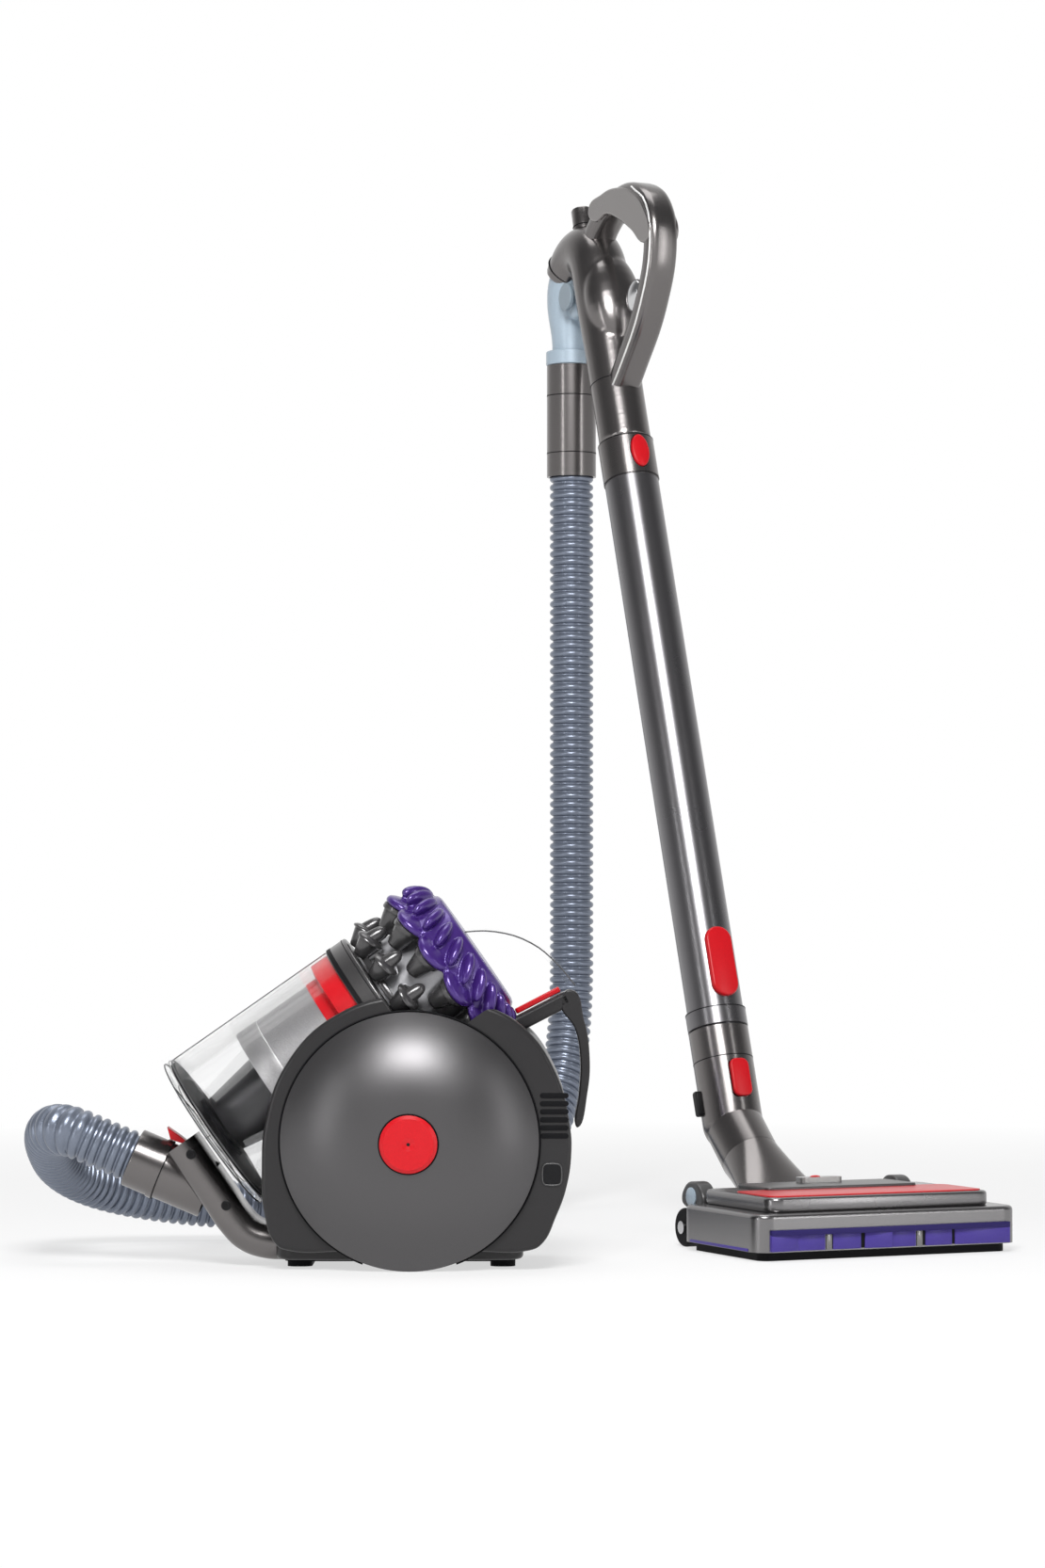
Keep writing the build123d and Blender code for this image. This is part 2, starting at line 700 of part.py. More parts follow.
cup_step = 360 / cyclone_count
lower_cup_tilt = 14.0
upper_cup_tilt = 18.0
lower_cup_height = 27.0
upper_cup_height = 26.0
with BuildPart() as lower_cyclones:
    with BuildSketch(bin_plane.offset(collar_end + 3)):
        Circle(drum_radius + 7)
        Circle(drum_radius, mode=Mode.SUBTRACT)
    extrude(amount=6)
    with Locations(*[cup_plane(59, collar_end + 3, cup_step * i, lower_cup_tilt) for i in range(cyclone_count)]):
        Cone(5.5, 10.5, lower_cup_height, align=(Align.CENTER, Align.CENTER, Align.MIN))
    with BuildSketch(bin_plane.offset(collar_end)):
        Circle(drum_radius)
    extrude(amount=60, mode=Mode.SUBTRACT)
lower_cyclones.part.label = "lower_cyclones"
export_step(lower_cyclones.part, "parts/lower_cyclones.step")

upper_start = collar_end + 31
with BuildPart() as upper_cyclones:
    with BuildSketch(bin_plane.offset(upper_start + 2)):
        Circle(drum_radius + 8)
        Circle(drum_radius, mode=Mode.SUBTRACT)
    extrude(amount=6)
    with Locations(
        *[cup_plane(59, upper_start, cup_step * (i + 0.5), upper_cup_tilt) for i in range(cyclone_count)]
    ):
        Cone(6.5, 12.0, upper_cup_height, align=(Align.CENTER, Align.CENTER, Align.MIN))
    with BuildSketch(bin_plane.offset(collar_end)):
        Circle(drum_radius)
    extrude(amount=60, mode=Mode.SUBTRACT)
    with BuildSketch(bin_plane.offset(drum_end)):
        Circle(120)
    extrude(amount=60, mode=Mode.SUBTRACT)
upper_cyclones.part.label = "upper_cyclones"
export_step(upper_cyclones.part, "parts/upper_cyclones.step")

with BuildPart() as cyclone_cap:
    with BuildSketch(bin_plane.offset(drum_end)):
        Circle(cap_core_radius)
        with PolarLocations(lobe_ring_radius, cyclone_count, cup_step / 2):
            Circle(lobe_radius)
    extrude(amount=cap_end - drum_end, taper=12)
    with BuildSketch(bin_plane.offset(drum_end)):
        Circle(drum_radius - 3)
    extrude(amount=cap_end - drum_end - 6, mode=Mode.SUBTRACT)
cyclone_cap.part.label = "cyclone_cap"
export_step(cyclone_cap.part, "parts/cyclone_cap.step")

# Carry handle behind the cyclones, lifting off with the bin
handle_half = 15.0
handle_width = 16.0
strut_start = bin_plane.origin + bin_axis * (cap_end - 14) - bin_up * (cap_core_radius + 6)
handle_top_x = 138.0
handle_top_z = 235.0
handle_out_x = 151.0
handle_out_z = 181.0
handle_low_x = rear_x + 9.5
handle_low_z = 124.0
with BuildPart() as carry_handle:
    with BuildSketch(Plane.XZ):
        with BuildLine():
            Polyline((strut_start.X, strut_start.Z), (handle_top_x, handle_top_z))
        trace(line_width=handle_width)
        with BuildLine():
            Spline(
                (handle_top_x, handle_top_z),
                (handle_out_x + 2, (handle_top_z + handle_out_z) / 2 + 4),
                (handle_out_x + 2, handle_out_z - 8),
                (handle_low_x, handle_low_z),
            )
        trace(line_width=handle_width)
        with Locations((handle_top_x, handle_top_z)):
            Circle(handle_width / 2)
    extrude(amount=handle_half, both=True)
    add(cyclone_cap.part, mode=Mode.SUBTRACT)
    add(upper_cyclones.part, mode=Mode.SUBTRACT)
carry_handle.part.label = "carry_handle"
export_step(carry_handle.part, "parts/carry_handle.step")

# Clear arch from the cap to the top of the carry handle
arch_half = 20.0
arch_start = bin_plane.origin + bin_axis * cap_end + bin_up * 22
with BuildPart() as clear_arch:
    with BuildSketch(Plane.XZ):
        with BuildLine():
            ThreePointArc(
                (arch_start.X, arch_start.Z),
                (104, 284),
                (handle_top_x + 4, handle_top_z + handle_width / 2 + 3),
            )
        trace(line_width=6)
    extrude(amount=arch_half, both=True)
    with BuildSketch(bin_plane):
        Circle(200)
    extrude(amount=cap_end, mode=Mode.SUBTRACT)
clear_arch.part.label = "clear_arch"
export_step(clear_arch.part, "parts/clear_arch.step")

# Red bin release that slides along the top of the strut
strut_line = Vector(handle_top_x - strut_start.X, 0, handle_top_z - strut_start.Z).normalized()
strut_up = Vector(-strut_line.Z, 0, strut_line.X)
trigger_length = 34.0
trigger_start = Vector(handle_top_x, 0, handle_top_z) - strut_line * 42
trigger_plane = Plane(
    origin=trigger_start + strut_up * (handle_width / 2 + seat_gap),
    x_dir=strut_line,
    z_dir=strut_up,
)
with BuildPart() as bin_trigger:
    with BuildSketch(trigger_plane):
        RectangleRounded(trigger_length, 16, 3, align=(Align.MIN, Align.CENTER))
    extrude(amount=5)
bin_trigger.part.label = "bin_trigger"
export_step(bin_trigger.part, "parts/bin_trigger.step")

# Cuff at the wand end of the hose
bore_end = cuff_bottom + 2 * hose_radius + 1
throat_radius = 19.0
seam_depth = 0.6
with BuildPart() as wand_cuff:
    with BuildSketch(hose_plane(cuff_bottom)):
        Circle(hose_radius + cuff_wall)
    extrude(amount=cuff_top - cuff_bottom)
    with BuildSketch(hose_plane(cuff_bottom)):
        Circle(hose_radius + bore_gap)
    extrude(amount=bore_end - cuff_bottom, mode=Mode.SUBTRACT)
    with BuildSketch(hose_plane(bore_end)):
        Circle(throat_radius)
    extrude(amount=cuff_top - bore_end, mode=Mode.SUBTRACT)
    for seam in (cuff_bottom + 25, cuff_top - 32):
        with BuildSketch(hose_plane(seam)):
            Circle(hose_radius + cuff_wall + 2)
            Circle(hose_radius + cuff_wall - seam_depth, mode=Mode.SUBTRACT)
        extrude(amount=1.2, mode=Mode.SUBTRACT)
wand_cuff.part.label = "wand_cuff"
export_step(wand_cuff.part, "parts/wand_cuff.step")

# Swivel collar and elbow: they turn on the cuff, and the handle folds on the elbow
collar_height = 15.0
collar_base = cuff_top + moving_gap
elbow_tube_radius = 20.0
spigot_radius = throat_radius - moving_gap
with BuildPart() as swivel_collar:
    with BuildSketch(hose_plane(collar_base)):
        Circle(hose_radius + cuff_wall + 0.8)
        Circle(spigot_radius + running_fit, mode=Mode.SUBTRACT)
    extrude(amount=collar_height)
    fillet(swivel_collar.edges().filter_by(GeomType.CIRCLE).sort_by(SortBy.RADIUS)[-2:], 1.5)
swivel_collar.part.label = "swivel_collar"
export_step(swivel_collar.part, "parts/swivel_collar.step")

elbow_base = collar_base + collar_height
elbow_shoulder = swivel_z - 20
elbow_round = 12.0
elbow_wall = 3.0
spigot_length = 24.0
air_way = 30.0
pin_radius = 5.0
with BuildPart() as swivel_elbow:
    with BuildSketch(hose_plane(elbow_base)):
        Circle(elbow_tube_radius)
    extrude(amount=elbow_shoulder + elbow_round - elbow_base)
    fillet(swivel_elbow.faces().sort_by(Axis.Z)[-1].edges(), elbow_round)
    with BuildSketch(side_plane):
        with Locations((swivel_back, swivel_z)):
            Circle(swivel_radius)
    extrude(amount=swivel_half, both=True)
    with BuildSketch(hose_plane(elbow_base)):
        Circle(spigot_radius)
    extrude(amount=-spigot_length)
    with BuildSketch(side_plane):
        with Locations((swivel_back, swivel_z)):
            Circle(swivel_radius - elbow_wall)
    extrude(amount=swivel_half - elbow_wall, both=True, mode=Mode.SUBTRACT)
    with BuildSketch(hose_plane(elbow_base - spigot_length)):
        Circle(spigot_radius - elbow_wall)
    extrude(amount=elbow_shoulder - elbow_base + spigot_length, mode=Mode.SUBTRACT)
    with BuildSketch(side_plane):
        with Locations((swivel_back, swivel_z)):
            Circle(pin_radius + running_fit)
    extrude(amount=swivel_half + 2, both=True, mode=Mode.SUBTRACT)
    with BuildSketch(side_plane):
        with Locations((swivel_back, swivel_z)):
            Rectangle(2 * swivel_radius, air_way, align=(Align.MAX, Align.CENTER))
    extrude(amount=air_way / 2 - 1, both=True, mode=Mode.SUBTRACT)
swivel_elbow.part.label = "swivel_elbow"
export_step(swivel_elbow.part, "parts/swivel_elbow.step")

# Handle pipe with the hood that holds the elbow
cheek = 4.0
hood_radius = swivel_radius + 5
hood_half = swivel_half + moving_gap + cheek
rim_angle = 35.0
rim_x = swivel_back + 120 * cos(radians(rim_angle))
rim_z = swivel_z + 120 * sin(radians(rim_angle))
with BuildPart() as handle_solid:
    with BuildSketch(wand_plane(sleeve_end)):
        Circle(pipe_radius)
    extrude(amount=pipe_end - sleeve_end)
    with Locations(wand_plane(pipe_end)):
        Sphere(pipe_radius)
    with BuildSketch(side_plane):
        with Locations((swivel_back, swivel_z)):
            Circle(hood_radius)
    extrude(amount=hood_half, both=True)

with BuildPart() as handle_pipe:
    add(handle_solid.part)
    with BuildSketch(wand_plane(sleeve_end)):
        Circle(pipe_radius - 3)
    extrude(amount=pipe_end - sleeve_end - 10, mode=Mode.SUBTRACT)
    with BuildSketch(side_plane):
        with Locations((swivel_back, swivel_z)):
            Circle(swivel_radius + moving_gap)
    extrude(amount=swivel_half + moving_gap, both=True, mode=Mode.SUBTRACT)
    with BuildSketch(side_plane):
        Polygon(
            (swivel_back, swivel_z),
            (rim_x, rim_z),
            (swivel_back + 160, swivel_z - 120),
            (swivel_back - 2, swivel_z - 120),
            align=None,
        )
    extrude(amount=swivel_half + moving_gap, both=True, mode=Mode.SUBTRACT)
    with BuildSketch(side_plane):
        with Locations((swivel_back, swivel_z)):
            Circle(pin_radius)
    extrude(amount=60, both=True, mode=Mode.SUBTRACT)
handle_pipe.part.label = "handle_pipe"
export_step(handle_pipe.part, "parts/handle_pipe.step")

with BuildPart() as elbow_pin:
    with BuildSketch(side_plane):
        with Locations((swivel_back, swivel_z)):
            Circle(pin_radius)
    extrude(amount=hood_half, both=True)
    for side in (1, -1):
        with BuildSketch(side_plane.offset(side * hood_half)):
            with Locations((swivel_back, swivel_z)):
                Circle(15)
        extrude(amount=side * 2.5)
elbow_pin.part.label = "elbow_pin"
export_step(elbow_pin.part, "parts/elbow_pin.step")

# Grip loop in front of the handle pipe, with a bleed trigger on its inner side
grip_points = [
    (474, 858),
    (430, 922),
    (404, 985),
    (409, 1031),
    (445, 1046),
    (498, 1034),
    (532, 1000),
]
grip_width = 28.0
grip_depth = 23.0
trigger_back = 417.0
trigger_z = 953.0
trigger_turn = 23.0
stub_start = head_origin + backward * 505 + upward * 1034
stub_length = 58.0
with BuildPart() as handle_grip:
    with BuildLine(side_plane):
        grip_line = Spline(*grip_points)
    with BuildSketch(Plane(origin=grip_line @ 0, x_dir=across, z_dir=grip_line % 0)):
        Ellipse(grip_width / 2, grip_depth / 2)
    sweep()
    with BuildSketch(Plane(origin=stub_start, x_dir=across, z_dir=backward)):
        Circle(14)
    extrude(amount=stub_length)
    add(handle_solid.part, mode=Mode.SUBTRACT)
    with BuildSketch(side_plane):
        with Locations(Location((trigger_back, trigger_z), trigger_turn)):
            with Locations((4, 0)):
                Rectangle(30, 33, align=(Align.MIN, Align.CENTER))
    extrude(amount=8.4, both=True, mode=Mode.SUBTRACT)
handle_grip.part.label = "handle_grip"
export_step(handle_grip.part, "parts/handle_grip.step")

with BuildPart() as suction_trigger:
    with BuildSketch(side_plane):
        with Locations(Location((trigger_back, trigger_z), trigger_turn)):
            with Locations((8.5, 0)):
                Rectangle(9, 32, align=(Align.MIN, Align.CENTER))
    extrude(amount=8, both=True)
    fillet(suction_trigger.edges().filter_by(lambda e: abs(e.tangent_at(0).dot(across)) > 0.9), 2)
suction_trigger.part.label = "suction_trigger"
export_step(suction_trigger.part, "parts/suction_trigger.step")

# Wand: handle collar with its release button, outer tube with the telescope catch, inner tube
collar_outer = tube_radius + 0.9
button_middle = 705.0
button_sink = 4.0
with BuildPart() as wand_collar:
    with BuildSketch(wand_plane(outer_tube_end)):
        Circle(collar_outer)
        Circle(pipe_radius - 3, mode=Mode.SUBTRACT)
    extrude(amount=sleeve_end - outer_tube_end)
    with BuildSketch(front_plane(button_middle, collar_outer - button_sink)):
        Ellipse(10.4, 18.4)
    extrude(amount=20, mode=Mode.SUBTRACT)
wand_collar.part.label = "wand_collar"
export_step(wand_collar.part, "parts/wand_collar.step")

with BuildPart() as wand_button:
    with BuildSketch(front_plane(button_middle, collar_outer - 1.5)):
        Ellipse(10, 18)
    extrude(amount=4)
    fillet(wand_button.faces().sort_by(Axis(tuple(knee), tuple(wand_front)))[-1].edges(), 1.5)
wand_button.part.label = "wand_button"
export_step(wand_button.part, "parts/wand_button.step")

slide_gap = 0.3
tube_collar_start = 95.0
with BuildPart() as outer_tube:
    with BuildSketch(wand_plane(outer_tube_start)):
        Circle(tube_radius)
        Circle(tube_radius - tube_wall, mode=Mode.SUBTRACT)
    extrude(amount=outer_tube_end - outer_tube_start)
    with BuildSketch(wand_plane(tube_collar_start)):
        Circle(tube_radius + 2)
        Circle(inner_radius + slide_gap, mode=Mode.SUBTRACT)
    extrude(amount=outer_tube_start - tube_collar_start)
outer_tube.part.label = "outer_tube"
export_step(outer_tube.part, "parts/outer_tube.step")

catch_bottom = 121.0
catch_top = 192.0
catch_spread = 56.0
catch_travel = 6.0
with BuildPart() as telescope_catch:
    with BuildSketch(wand_plane(catch_bottom)):
        with BuildLine():
            CenterArc((0, 0), tube_radius + 4, -90 - catch_spread / 2, catch_spread)
            CenterArc((0, 0), tube_radius + slide_gap, -90 - catch_spread / 2, catch_spread)
            Line(
                PolarLine((0, 0), tube_radius + slide_gap, -90 - catch_spread / 2, mode=Mode.PRIVATE) @ 1,
                PolarLine((0, 0), tube_radius + 4, -90 - catch_spread / 2, mode=Mode.PRIVATE) @ 1,
            )
            Line(
                PolarLine((0, 0), tube_radius + slide_gap, -90 + catch_spread / 2, mode=Mode.PRIVATE) @ 1,
                PolarLine((0, 0), tube_radius + 4, -90 + catch_spread / 2, mode=Mode.PRIVATE) @ 1,
            )
        make_face()
    extrude(amount=catch_top - catch_bottom)
telescope_catch.part.label = "telescope_catch"
export_step(telescope_catch.part, "parts/telescope_catch.step")

inner_tube_start = 60.0
inner_tube_end = 630.0
with BuildPart() as inner_tube:
    with BuildSketch(wand_plane(inner_tube_start)):
        Circle(inner_radius)
        Circle(inner_radius - inner_wall, mode=Mode.SUBTRACT)
    extrude(amount=inner_tube_end - inner_tube_start)
inner_tube.part.label = "inner_tube"
export_step(inner_tube.part, "parts/inner_tube.step")

# Neck: a socket on the inner tube, bent at the knee towards the swivel ring
neck_radius = 29.5
neck_top = 93.0
neck_bore = 21.0
swivel_slope = 41.0
swivel_length = 48.0
neck_axis = upward * -sin(radians(swivel_slope)) - backward * cos(radians(swivel_slope))
ring_plane = Plane(origin=knee + neck_axis * swivel_length, x_dir=across, z_dir=neck_axis)
knee_plane = Plane(origin=knee, x_dir=across, z_dir=neck_axis)
button_reach = 3.0
with BuildPart() as neck_pipe:
    with BuildSketch(wand_plane(0)):
        Circle(neck_radius)
    extrude(amount=neck_top)
    with Locations(Location(knee)):
        Sphere(neck_radius)
    with BuildSketch(knee_plane):
        Circle(neck_radius - 1)
    extrude(amount=swivel_length)
    with BuildSketch(wand_plane(inner_tube_start)):
        Circle(inner_radius + running_fit)
    extrude(amount=60, mode=Mode.SUBTRACT)
    with BuildSketch(wand_plane(0)):
        Circle(neck_bore)
    extrude(amount=neck_top, mode=Mode.SUBTRACT)
    with BuildSketch(knee_plane):
        Circle(neck_bore)
    extrude(amount=swivel_length, mode=Mode.SUBTRACT)
    with Locations(Location(knee)):
        Sphere(neck_bore, mode=Mode.SUBTRACT)
    with BuildSketch(front_plane(38, neck_radius - 4)):
        RectangleRounded(20.8, 38.8, 6)
    extrude(amount=20, mode=Mode.SUBTRACT)
neck_pipe.part.label = "neck_pipe"
export_step(neck_pipe.part, "parts/neck_pipe.step")

with BuildPart() as neck_button:
    with BuildSketch(front_plane(38, neck_radius - 1)):
        RectangleRounded(20, 38, 5.6)
    extrude(amount=button_reach + 1)
    fillet(neck_button.faces().sort_by(Axis(tuple(knee), tuple(wand_front)))[-1].edges(), 1.2)
neck_button.part.label = "neck_button"
export_step(neck_button.part, "parts/neck_button.step")

# Boot: from the swivel ring down to the pivot barrel behind the head
pivot_back = 105.0
pivot_z = 38.0
pivot_pin_radius = 4.0
barrel_radius = 13.0
barrel_half = 44.0
boot_plane = Plane(origin=head_origin + backward * (pivot_back + 18) + upward * pivot_z, x_dir=across, z_dir=backward)
with BuildPart() as neck_boot:
    with BuildSketch(ring_plane.offset(moving_gap)):
        Circle(neck_radius - 1)
    with BuildSketch(boot_plane):
        Ellipse(barrel_half, barrel_radius)
    loft()
    with BuildSketch(side_plane):
        with Locations((pivot_back, pivot_z)):
            Circle(barrel_radius)
            Rectangle(20, 2 * barrel_radius, align=(Align.MIN, Align.CENTER))
    extrude(amount=barrel_half, both=True)
    with BuildSketch(ring_plane.offset(moving_gap)):
        Circle(neck_bore - moving_gap)
    extrude(amount=-14)
    with BuildSketch(ring_plane.offset(-20)):
        Circle(neck_bore - 3)
    extrude(amount=46, mode=Mode.SUBTRACT)
    with BuildSketch(side_plane):
        with Locations((pivot_back, pivot_z)):
            Circle(pivot_pin_radius + running_fit)
    extrude(amount=60, both=True, mode=Mode.SUBTRACT)
neck_boot.part.label = "neck_boot"
export_step(neck_boot.part, "parts/neck_boot.step")

# Floor head: shell with two rear arms, sole, deck, trim, bumper, slider and wheels
arm_gap = 1.0
rear_arm = 16.0
wheel_back = 98.0
head_wheel_radius = 18.0
head_axle_radius = 3.0
with BuildPart() as head_shell:
    with BuildSketch(head_plane.offset(head_bottom)):
        RectangleRounded(head_width, head_depth, 16)
    extrude(amount=head_top - head_bottom)
    fillet(head_shell.faces().sort_by(Axis.Z)[-1].edges(), 4)
    for side in (1, -1):
        with BuildSketch(side_plane.offset(side * (barrel_half + arm_gap))):
            with BuildLine():
                Polyline(
                    (head_depth / 2 - 6, 10),
                    (pivot_back + 2, 10),
                    (pivot_back + barrel_radius, 24),
                    (pivot_back + barrel_radius, pivot_z + 8),
                    (pivot_back, pivot_z + barrel_radius),
                    (head_depth / 2 - 6, head_top - 4),
                    close=True,
                )
            make_face()
        extrude(amount=side * rear_arm)
    with BuildSketch(head_plane.offset(head_bottom)):
        RectangleRounded(head_width - 8, head_depth - 8, 12)
    extrude(amount=head_top - head_bottom - 4, mode=Mode.SUBTRACT)
    with BuildSketch(side_plane):
        with Locations((pivot_back, pivot_z)):
            Circle(pivot_pin_radius)
        with Locations((wheel_back, head_wheel_radius)):
            Circle(head_axle_radius)
    extrude(amount=head_width, both=True, mode=Mode.SUBTRACT)
head_shell.part.label = "head_shell"
export_step(head_shell.part, "parts/head_shell.step")

mouth_width = 220.0
mouth_depth = 34.0
mouth_back = -28.0
with BuildPart() as sole_plate:
    with BuildSketch(head_plane):
        RectangleRounded(head_width - 16, head_depth - 16, 10)
        with Locations((0, mouth_back)):
            RectangleRounded(mouth_width, mouth_depth, 8, mode=Mode.SUBTRACT)
    extrude(amount=head_bottom)
    with BuildSketch(head_plane.offset(head_bottom)):
        RectangleRounded(head_width - 8 - 2 * seat_gap, head_depth - 8 - 2 * seat_gap, 12)
        with Locations((0, mouth_back)):
            RectangleRounded(mouth_width, mouth_depth, 8, mode=Mode.SUBTRACT)
    extrude(amount=3)
sole_plate.part.label = "sole_plate"
export_step(sole_plate.part, "parts/sole_plate.step")

deck_front = -8.0
deck_width = 262.0
deck_back = head_depth / 2
trim_back = 40.0
plate_width = 158.0
plate_height = 4.0
with BuildPart() as head_deck:
    with BuildSketch(head_plane.offset(head_top)):
        with Locations((0, (deck_front + deck_back) / 2)):
            RectangleRounded(deck_width, deck_back - deck_front, 12)
    extrude(amount=deck_top - head_top)
    fillet(head_deck.faces().sort_by(Axis.Z)[-1].edges(), 3)
    with BuildSketch(head_plane.offset(deck_top)):
        with Locations((0, (trim_back + deck_back) / 2)):
            RectangleRounded(plate_width, deck_back - trim_back - 6, 6)
    extrude(amount=plate_height)
head_deck.part.label = "head_deck"
export_step(head_deck.part, "parts/head_deck.step")

with BuildPart() as deck_trim:
    with BuildSketch(head_plane.offset(deck_top)):
        with Locations((0, (deck_front + trim_back) / 2)):
            RectangleRounded(deck_width - 10, trim_back - deck_front - 8, 8)
    extrude(amount=1.5)
deck_trim.part.label = "deck_trim"
export_step(deck_trim.part, "parts/deck_trim.step")

slider_travel = 10.0
with BuildPart() as suction_slider:
    with BuildSketch(head_plane.offset(deck_top + plate_height + 0.1)):
        with Locations((0, (trim_back + deck_back) / 2)):
            RectangleRounded(44, 14, 4)
    extrude(amount=5)
suction_slider.part.label = "suction_slider"
export_step(suction_slider.part, "parts/suction_slider.step")

bumper_bottom = head_bottom + 1
bumper_top = 28.0
with BuildPart() as front_bumper:
    with BuildSketch(Plane(origin=head_origin - backward * (head_depth / 2), x_dir=across, z_dir=backward * -1)):
        with Locations((0, (bumper_bottom + bumper_top) / 2)):
            Rectangle(head_width - 36, bumper_top - bumper_bottom)
    extrude(amount=4)
front_bumper.part.label = "front_bumper"
export_step(front_bumper.part, "parts/front_bumper.step")

with BuildPart() as pivot_pin:
    with BuildSketch(side_plane):
        with Locations((pivot_back, pivot_z)):
            Circle(pivot_pin_radius)
    extrude(amount=barrel_half + arm_gap + rear_arm, both=True)
pivot_pin.part.label = "pivot_pin"
export_step(pivot_pin.part, "parts/pivot_pin.step")

wheel_inner = 106.0
wheel_outer = 122.0
with BuildPart() as head_axle:
    with BuildSketch(side_plane):
        with Locations((wheel_back, head_wheel_radius)):
            Circle(head_axle_radius)
    extrude(amount=wheel_outer + moving_gap, both=True)
    for side in (1, -1):
        with BuildSketch(side_plane.offset(side * (wheel_outer + moving_gap))):
            with Locations((wheel_back, head_wheel_radius)):
                Circle(6)
        extrude(amount=side * 2)
head_axle.part.label = "head_axle"
export_step(head_axle.part, "parts/head_axle.step")

with BuildPart() as head_wheel_left:
    with BuildSketch(side_plane.offset(-wheel_outer)):
        with Locations((wheel_back, head_wheel_radius)):
            Circle(head_wheel_radius)
            Circle(head_axle_radius + running_fit, mode=Mode.SUBTRACT)
    extrude(amount=wheel_outer - wheel_inner)
    fillet(head_wheel_left.edges().filter_by(GeomType.CIRCLE).sort_by(SortBy.RADIUS)[-2:], 3)
head_wheel_left.part.label = "head_wheel_left"
export_step(head_wheel_left.part, "parts/head_wheel_left.step")

with BuildPart() as head_wheel_right:
    mirror(head_wheel_left.part, about=Plane(origin=head_origin, x_dir=backward, z_dir=across))
head_wheel_right.part.label = "head_wheel_right"
export_step(head_wheel_right.part, "parts/head_wheel_right.step")

# Ribbed hose: a steady row of ribs along straight runs joined by tangent arcs
hose_start = inlet_mouth + inlet_axis * 42
loop_corner = inlet_mouth - inlet_axis * 93
loop_back = Vector(-325, 200, 48)
floor_corner = Vector(-60, 240, hose_radius + 1)
rise_corner = hose_top_point + upward * (hose_radius + 1)
hose_end = hose_top_point + upward * (cuff_bottom + 2 * hose_radius)
corner_radii = [74, 110, 210, 130]
with BuildPart() as hose:
    with BuildLine() as hose_route:
        FilletPolyline(
            hose_start,
            loop_corner,
            loop_back,
            floor_corner,
            rise_corner,
            hose_end,
            radius=corner_radii,
        )
    hose_length = hose_route.wires()[0].length
    rib_count = int(hose_length / rib_pitch)
    rib_length = hose_length / rib_count
    hose_wire = hose_route.wires()[0]
    steady_x = Vector(0, 1, 0)
    rib_steps = []
    for step in range(4 * rib_count + 1):
        along = step / (4 * rib_count)
        point = hose_wire.position_at(along)
        heading = hose_wire.tangent_at(along)
        steady_x = (steady_x - heading * steady_x.dot(heading)).normalized()
        inset = hose_groove if step % 4 in (0, 3) else 0
        rib_steps.append((Plane(origin=point, x_dir=steady_x, z_dir=heading), inset))
    for rib_plane, inset in rib_steps:
        with BuildSketch(rib_plane):
            Circle(hose_radius - inset)
    loft(ruled=True)
    for rib_plane, inset in rib_steps[::4]:
        with BuildSketch(rib_plane):
            Circle(hose_bore_radius)
    loft(ruled=True, mode=Mode.SUBTRACT)
hose.part.label = "hose"
export_step(hose.part, "parts/hose.step")
print("hose length", round(hose_length), "ribs", rib_count, "volume", round(hose.part.volume))
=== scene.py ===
# %% [markdown]
# # Dressing a ball canister vacuum cleaner
#
# The machine has a body between two big domed wheels, a clear bin tilted over them, a ribbed hose, and a
# telescopic wand on a wide floor head. The solid model already gives the frame: every tube, hinge and button
# in its place. This lesson adds what a photograph shows on top of it: finishes, soft highlights, small
# fittings and the rounded forms that are easier to model as meshes.

# %% Load the frame
import math

import bpy
from mathutils import Matrix, Vector


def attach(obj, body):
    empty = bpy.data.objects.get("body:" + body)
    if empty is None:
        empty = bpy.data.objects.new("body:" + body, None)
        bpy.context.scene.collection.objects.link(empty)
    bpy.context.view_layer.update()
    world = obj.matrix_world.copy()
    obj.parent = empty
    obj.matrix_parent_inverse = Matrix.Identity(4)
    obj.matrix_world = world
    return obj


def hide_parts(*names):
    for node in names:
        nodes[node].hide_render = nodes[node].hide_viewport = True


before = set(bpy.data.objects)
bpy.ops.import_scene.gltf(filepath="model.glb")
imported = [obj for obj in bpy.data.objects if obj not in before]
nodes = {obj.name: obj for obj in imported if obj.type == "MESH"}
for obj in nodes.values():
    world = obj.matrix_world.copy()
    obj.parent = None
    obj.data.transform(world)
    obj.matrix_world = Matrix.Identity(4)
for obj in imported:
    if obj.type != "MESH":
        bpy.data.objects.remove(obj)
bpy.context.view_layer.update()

# %% [markdown]
# ## The camera
#
# The picture was taken from low down with a long lens, so upright edges stay upright and the floor is seen
# at a flat angle. The camera stands 3.6 m in front of the axle at knee height and is tilted up a little.
# A long lens far away gives the same flat look as the photograph; a short lens close by would swell the
# ball.

# %% Camera
MM = 0.001
camera_place = Vector((0.0983, -3.6, 0.328))
camera_tilt = math.radians(1.564)
bpy.ops.object.camera_add(location=camera_place, rotation=(math.pi / 2 + camera_tilt, 0, 0))
camera = bpy.context.object
camera.data.lens = 92.6
camera.data.sensor_width = 36.0
camera.data.clip_end = 60.0
bpy.context.scene.camera = camera
print("camera", tuple(round(x, 3) for x in camera.location))

# %% [markdown]
# ## The studio
#
# A white room whose front and sides turn grey above the floor, a pale floor and four soft boxes. Floor and
# room look the same where they are seen, mirrored or looked through, and otherwise light the object gently.
# Dark glossy paint shows its shape only through what it mirrors: the grey walls give the dark middle of a
# tube or a ball, the white back gives its bright edges, and the boxes are set where their highlights draw
# the forms. Small helpers build the nodes that room and floor share.


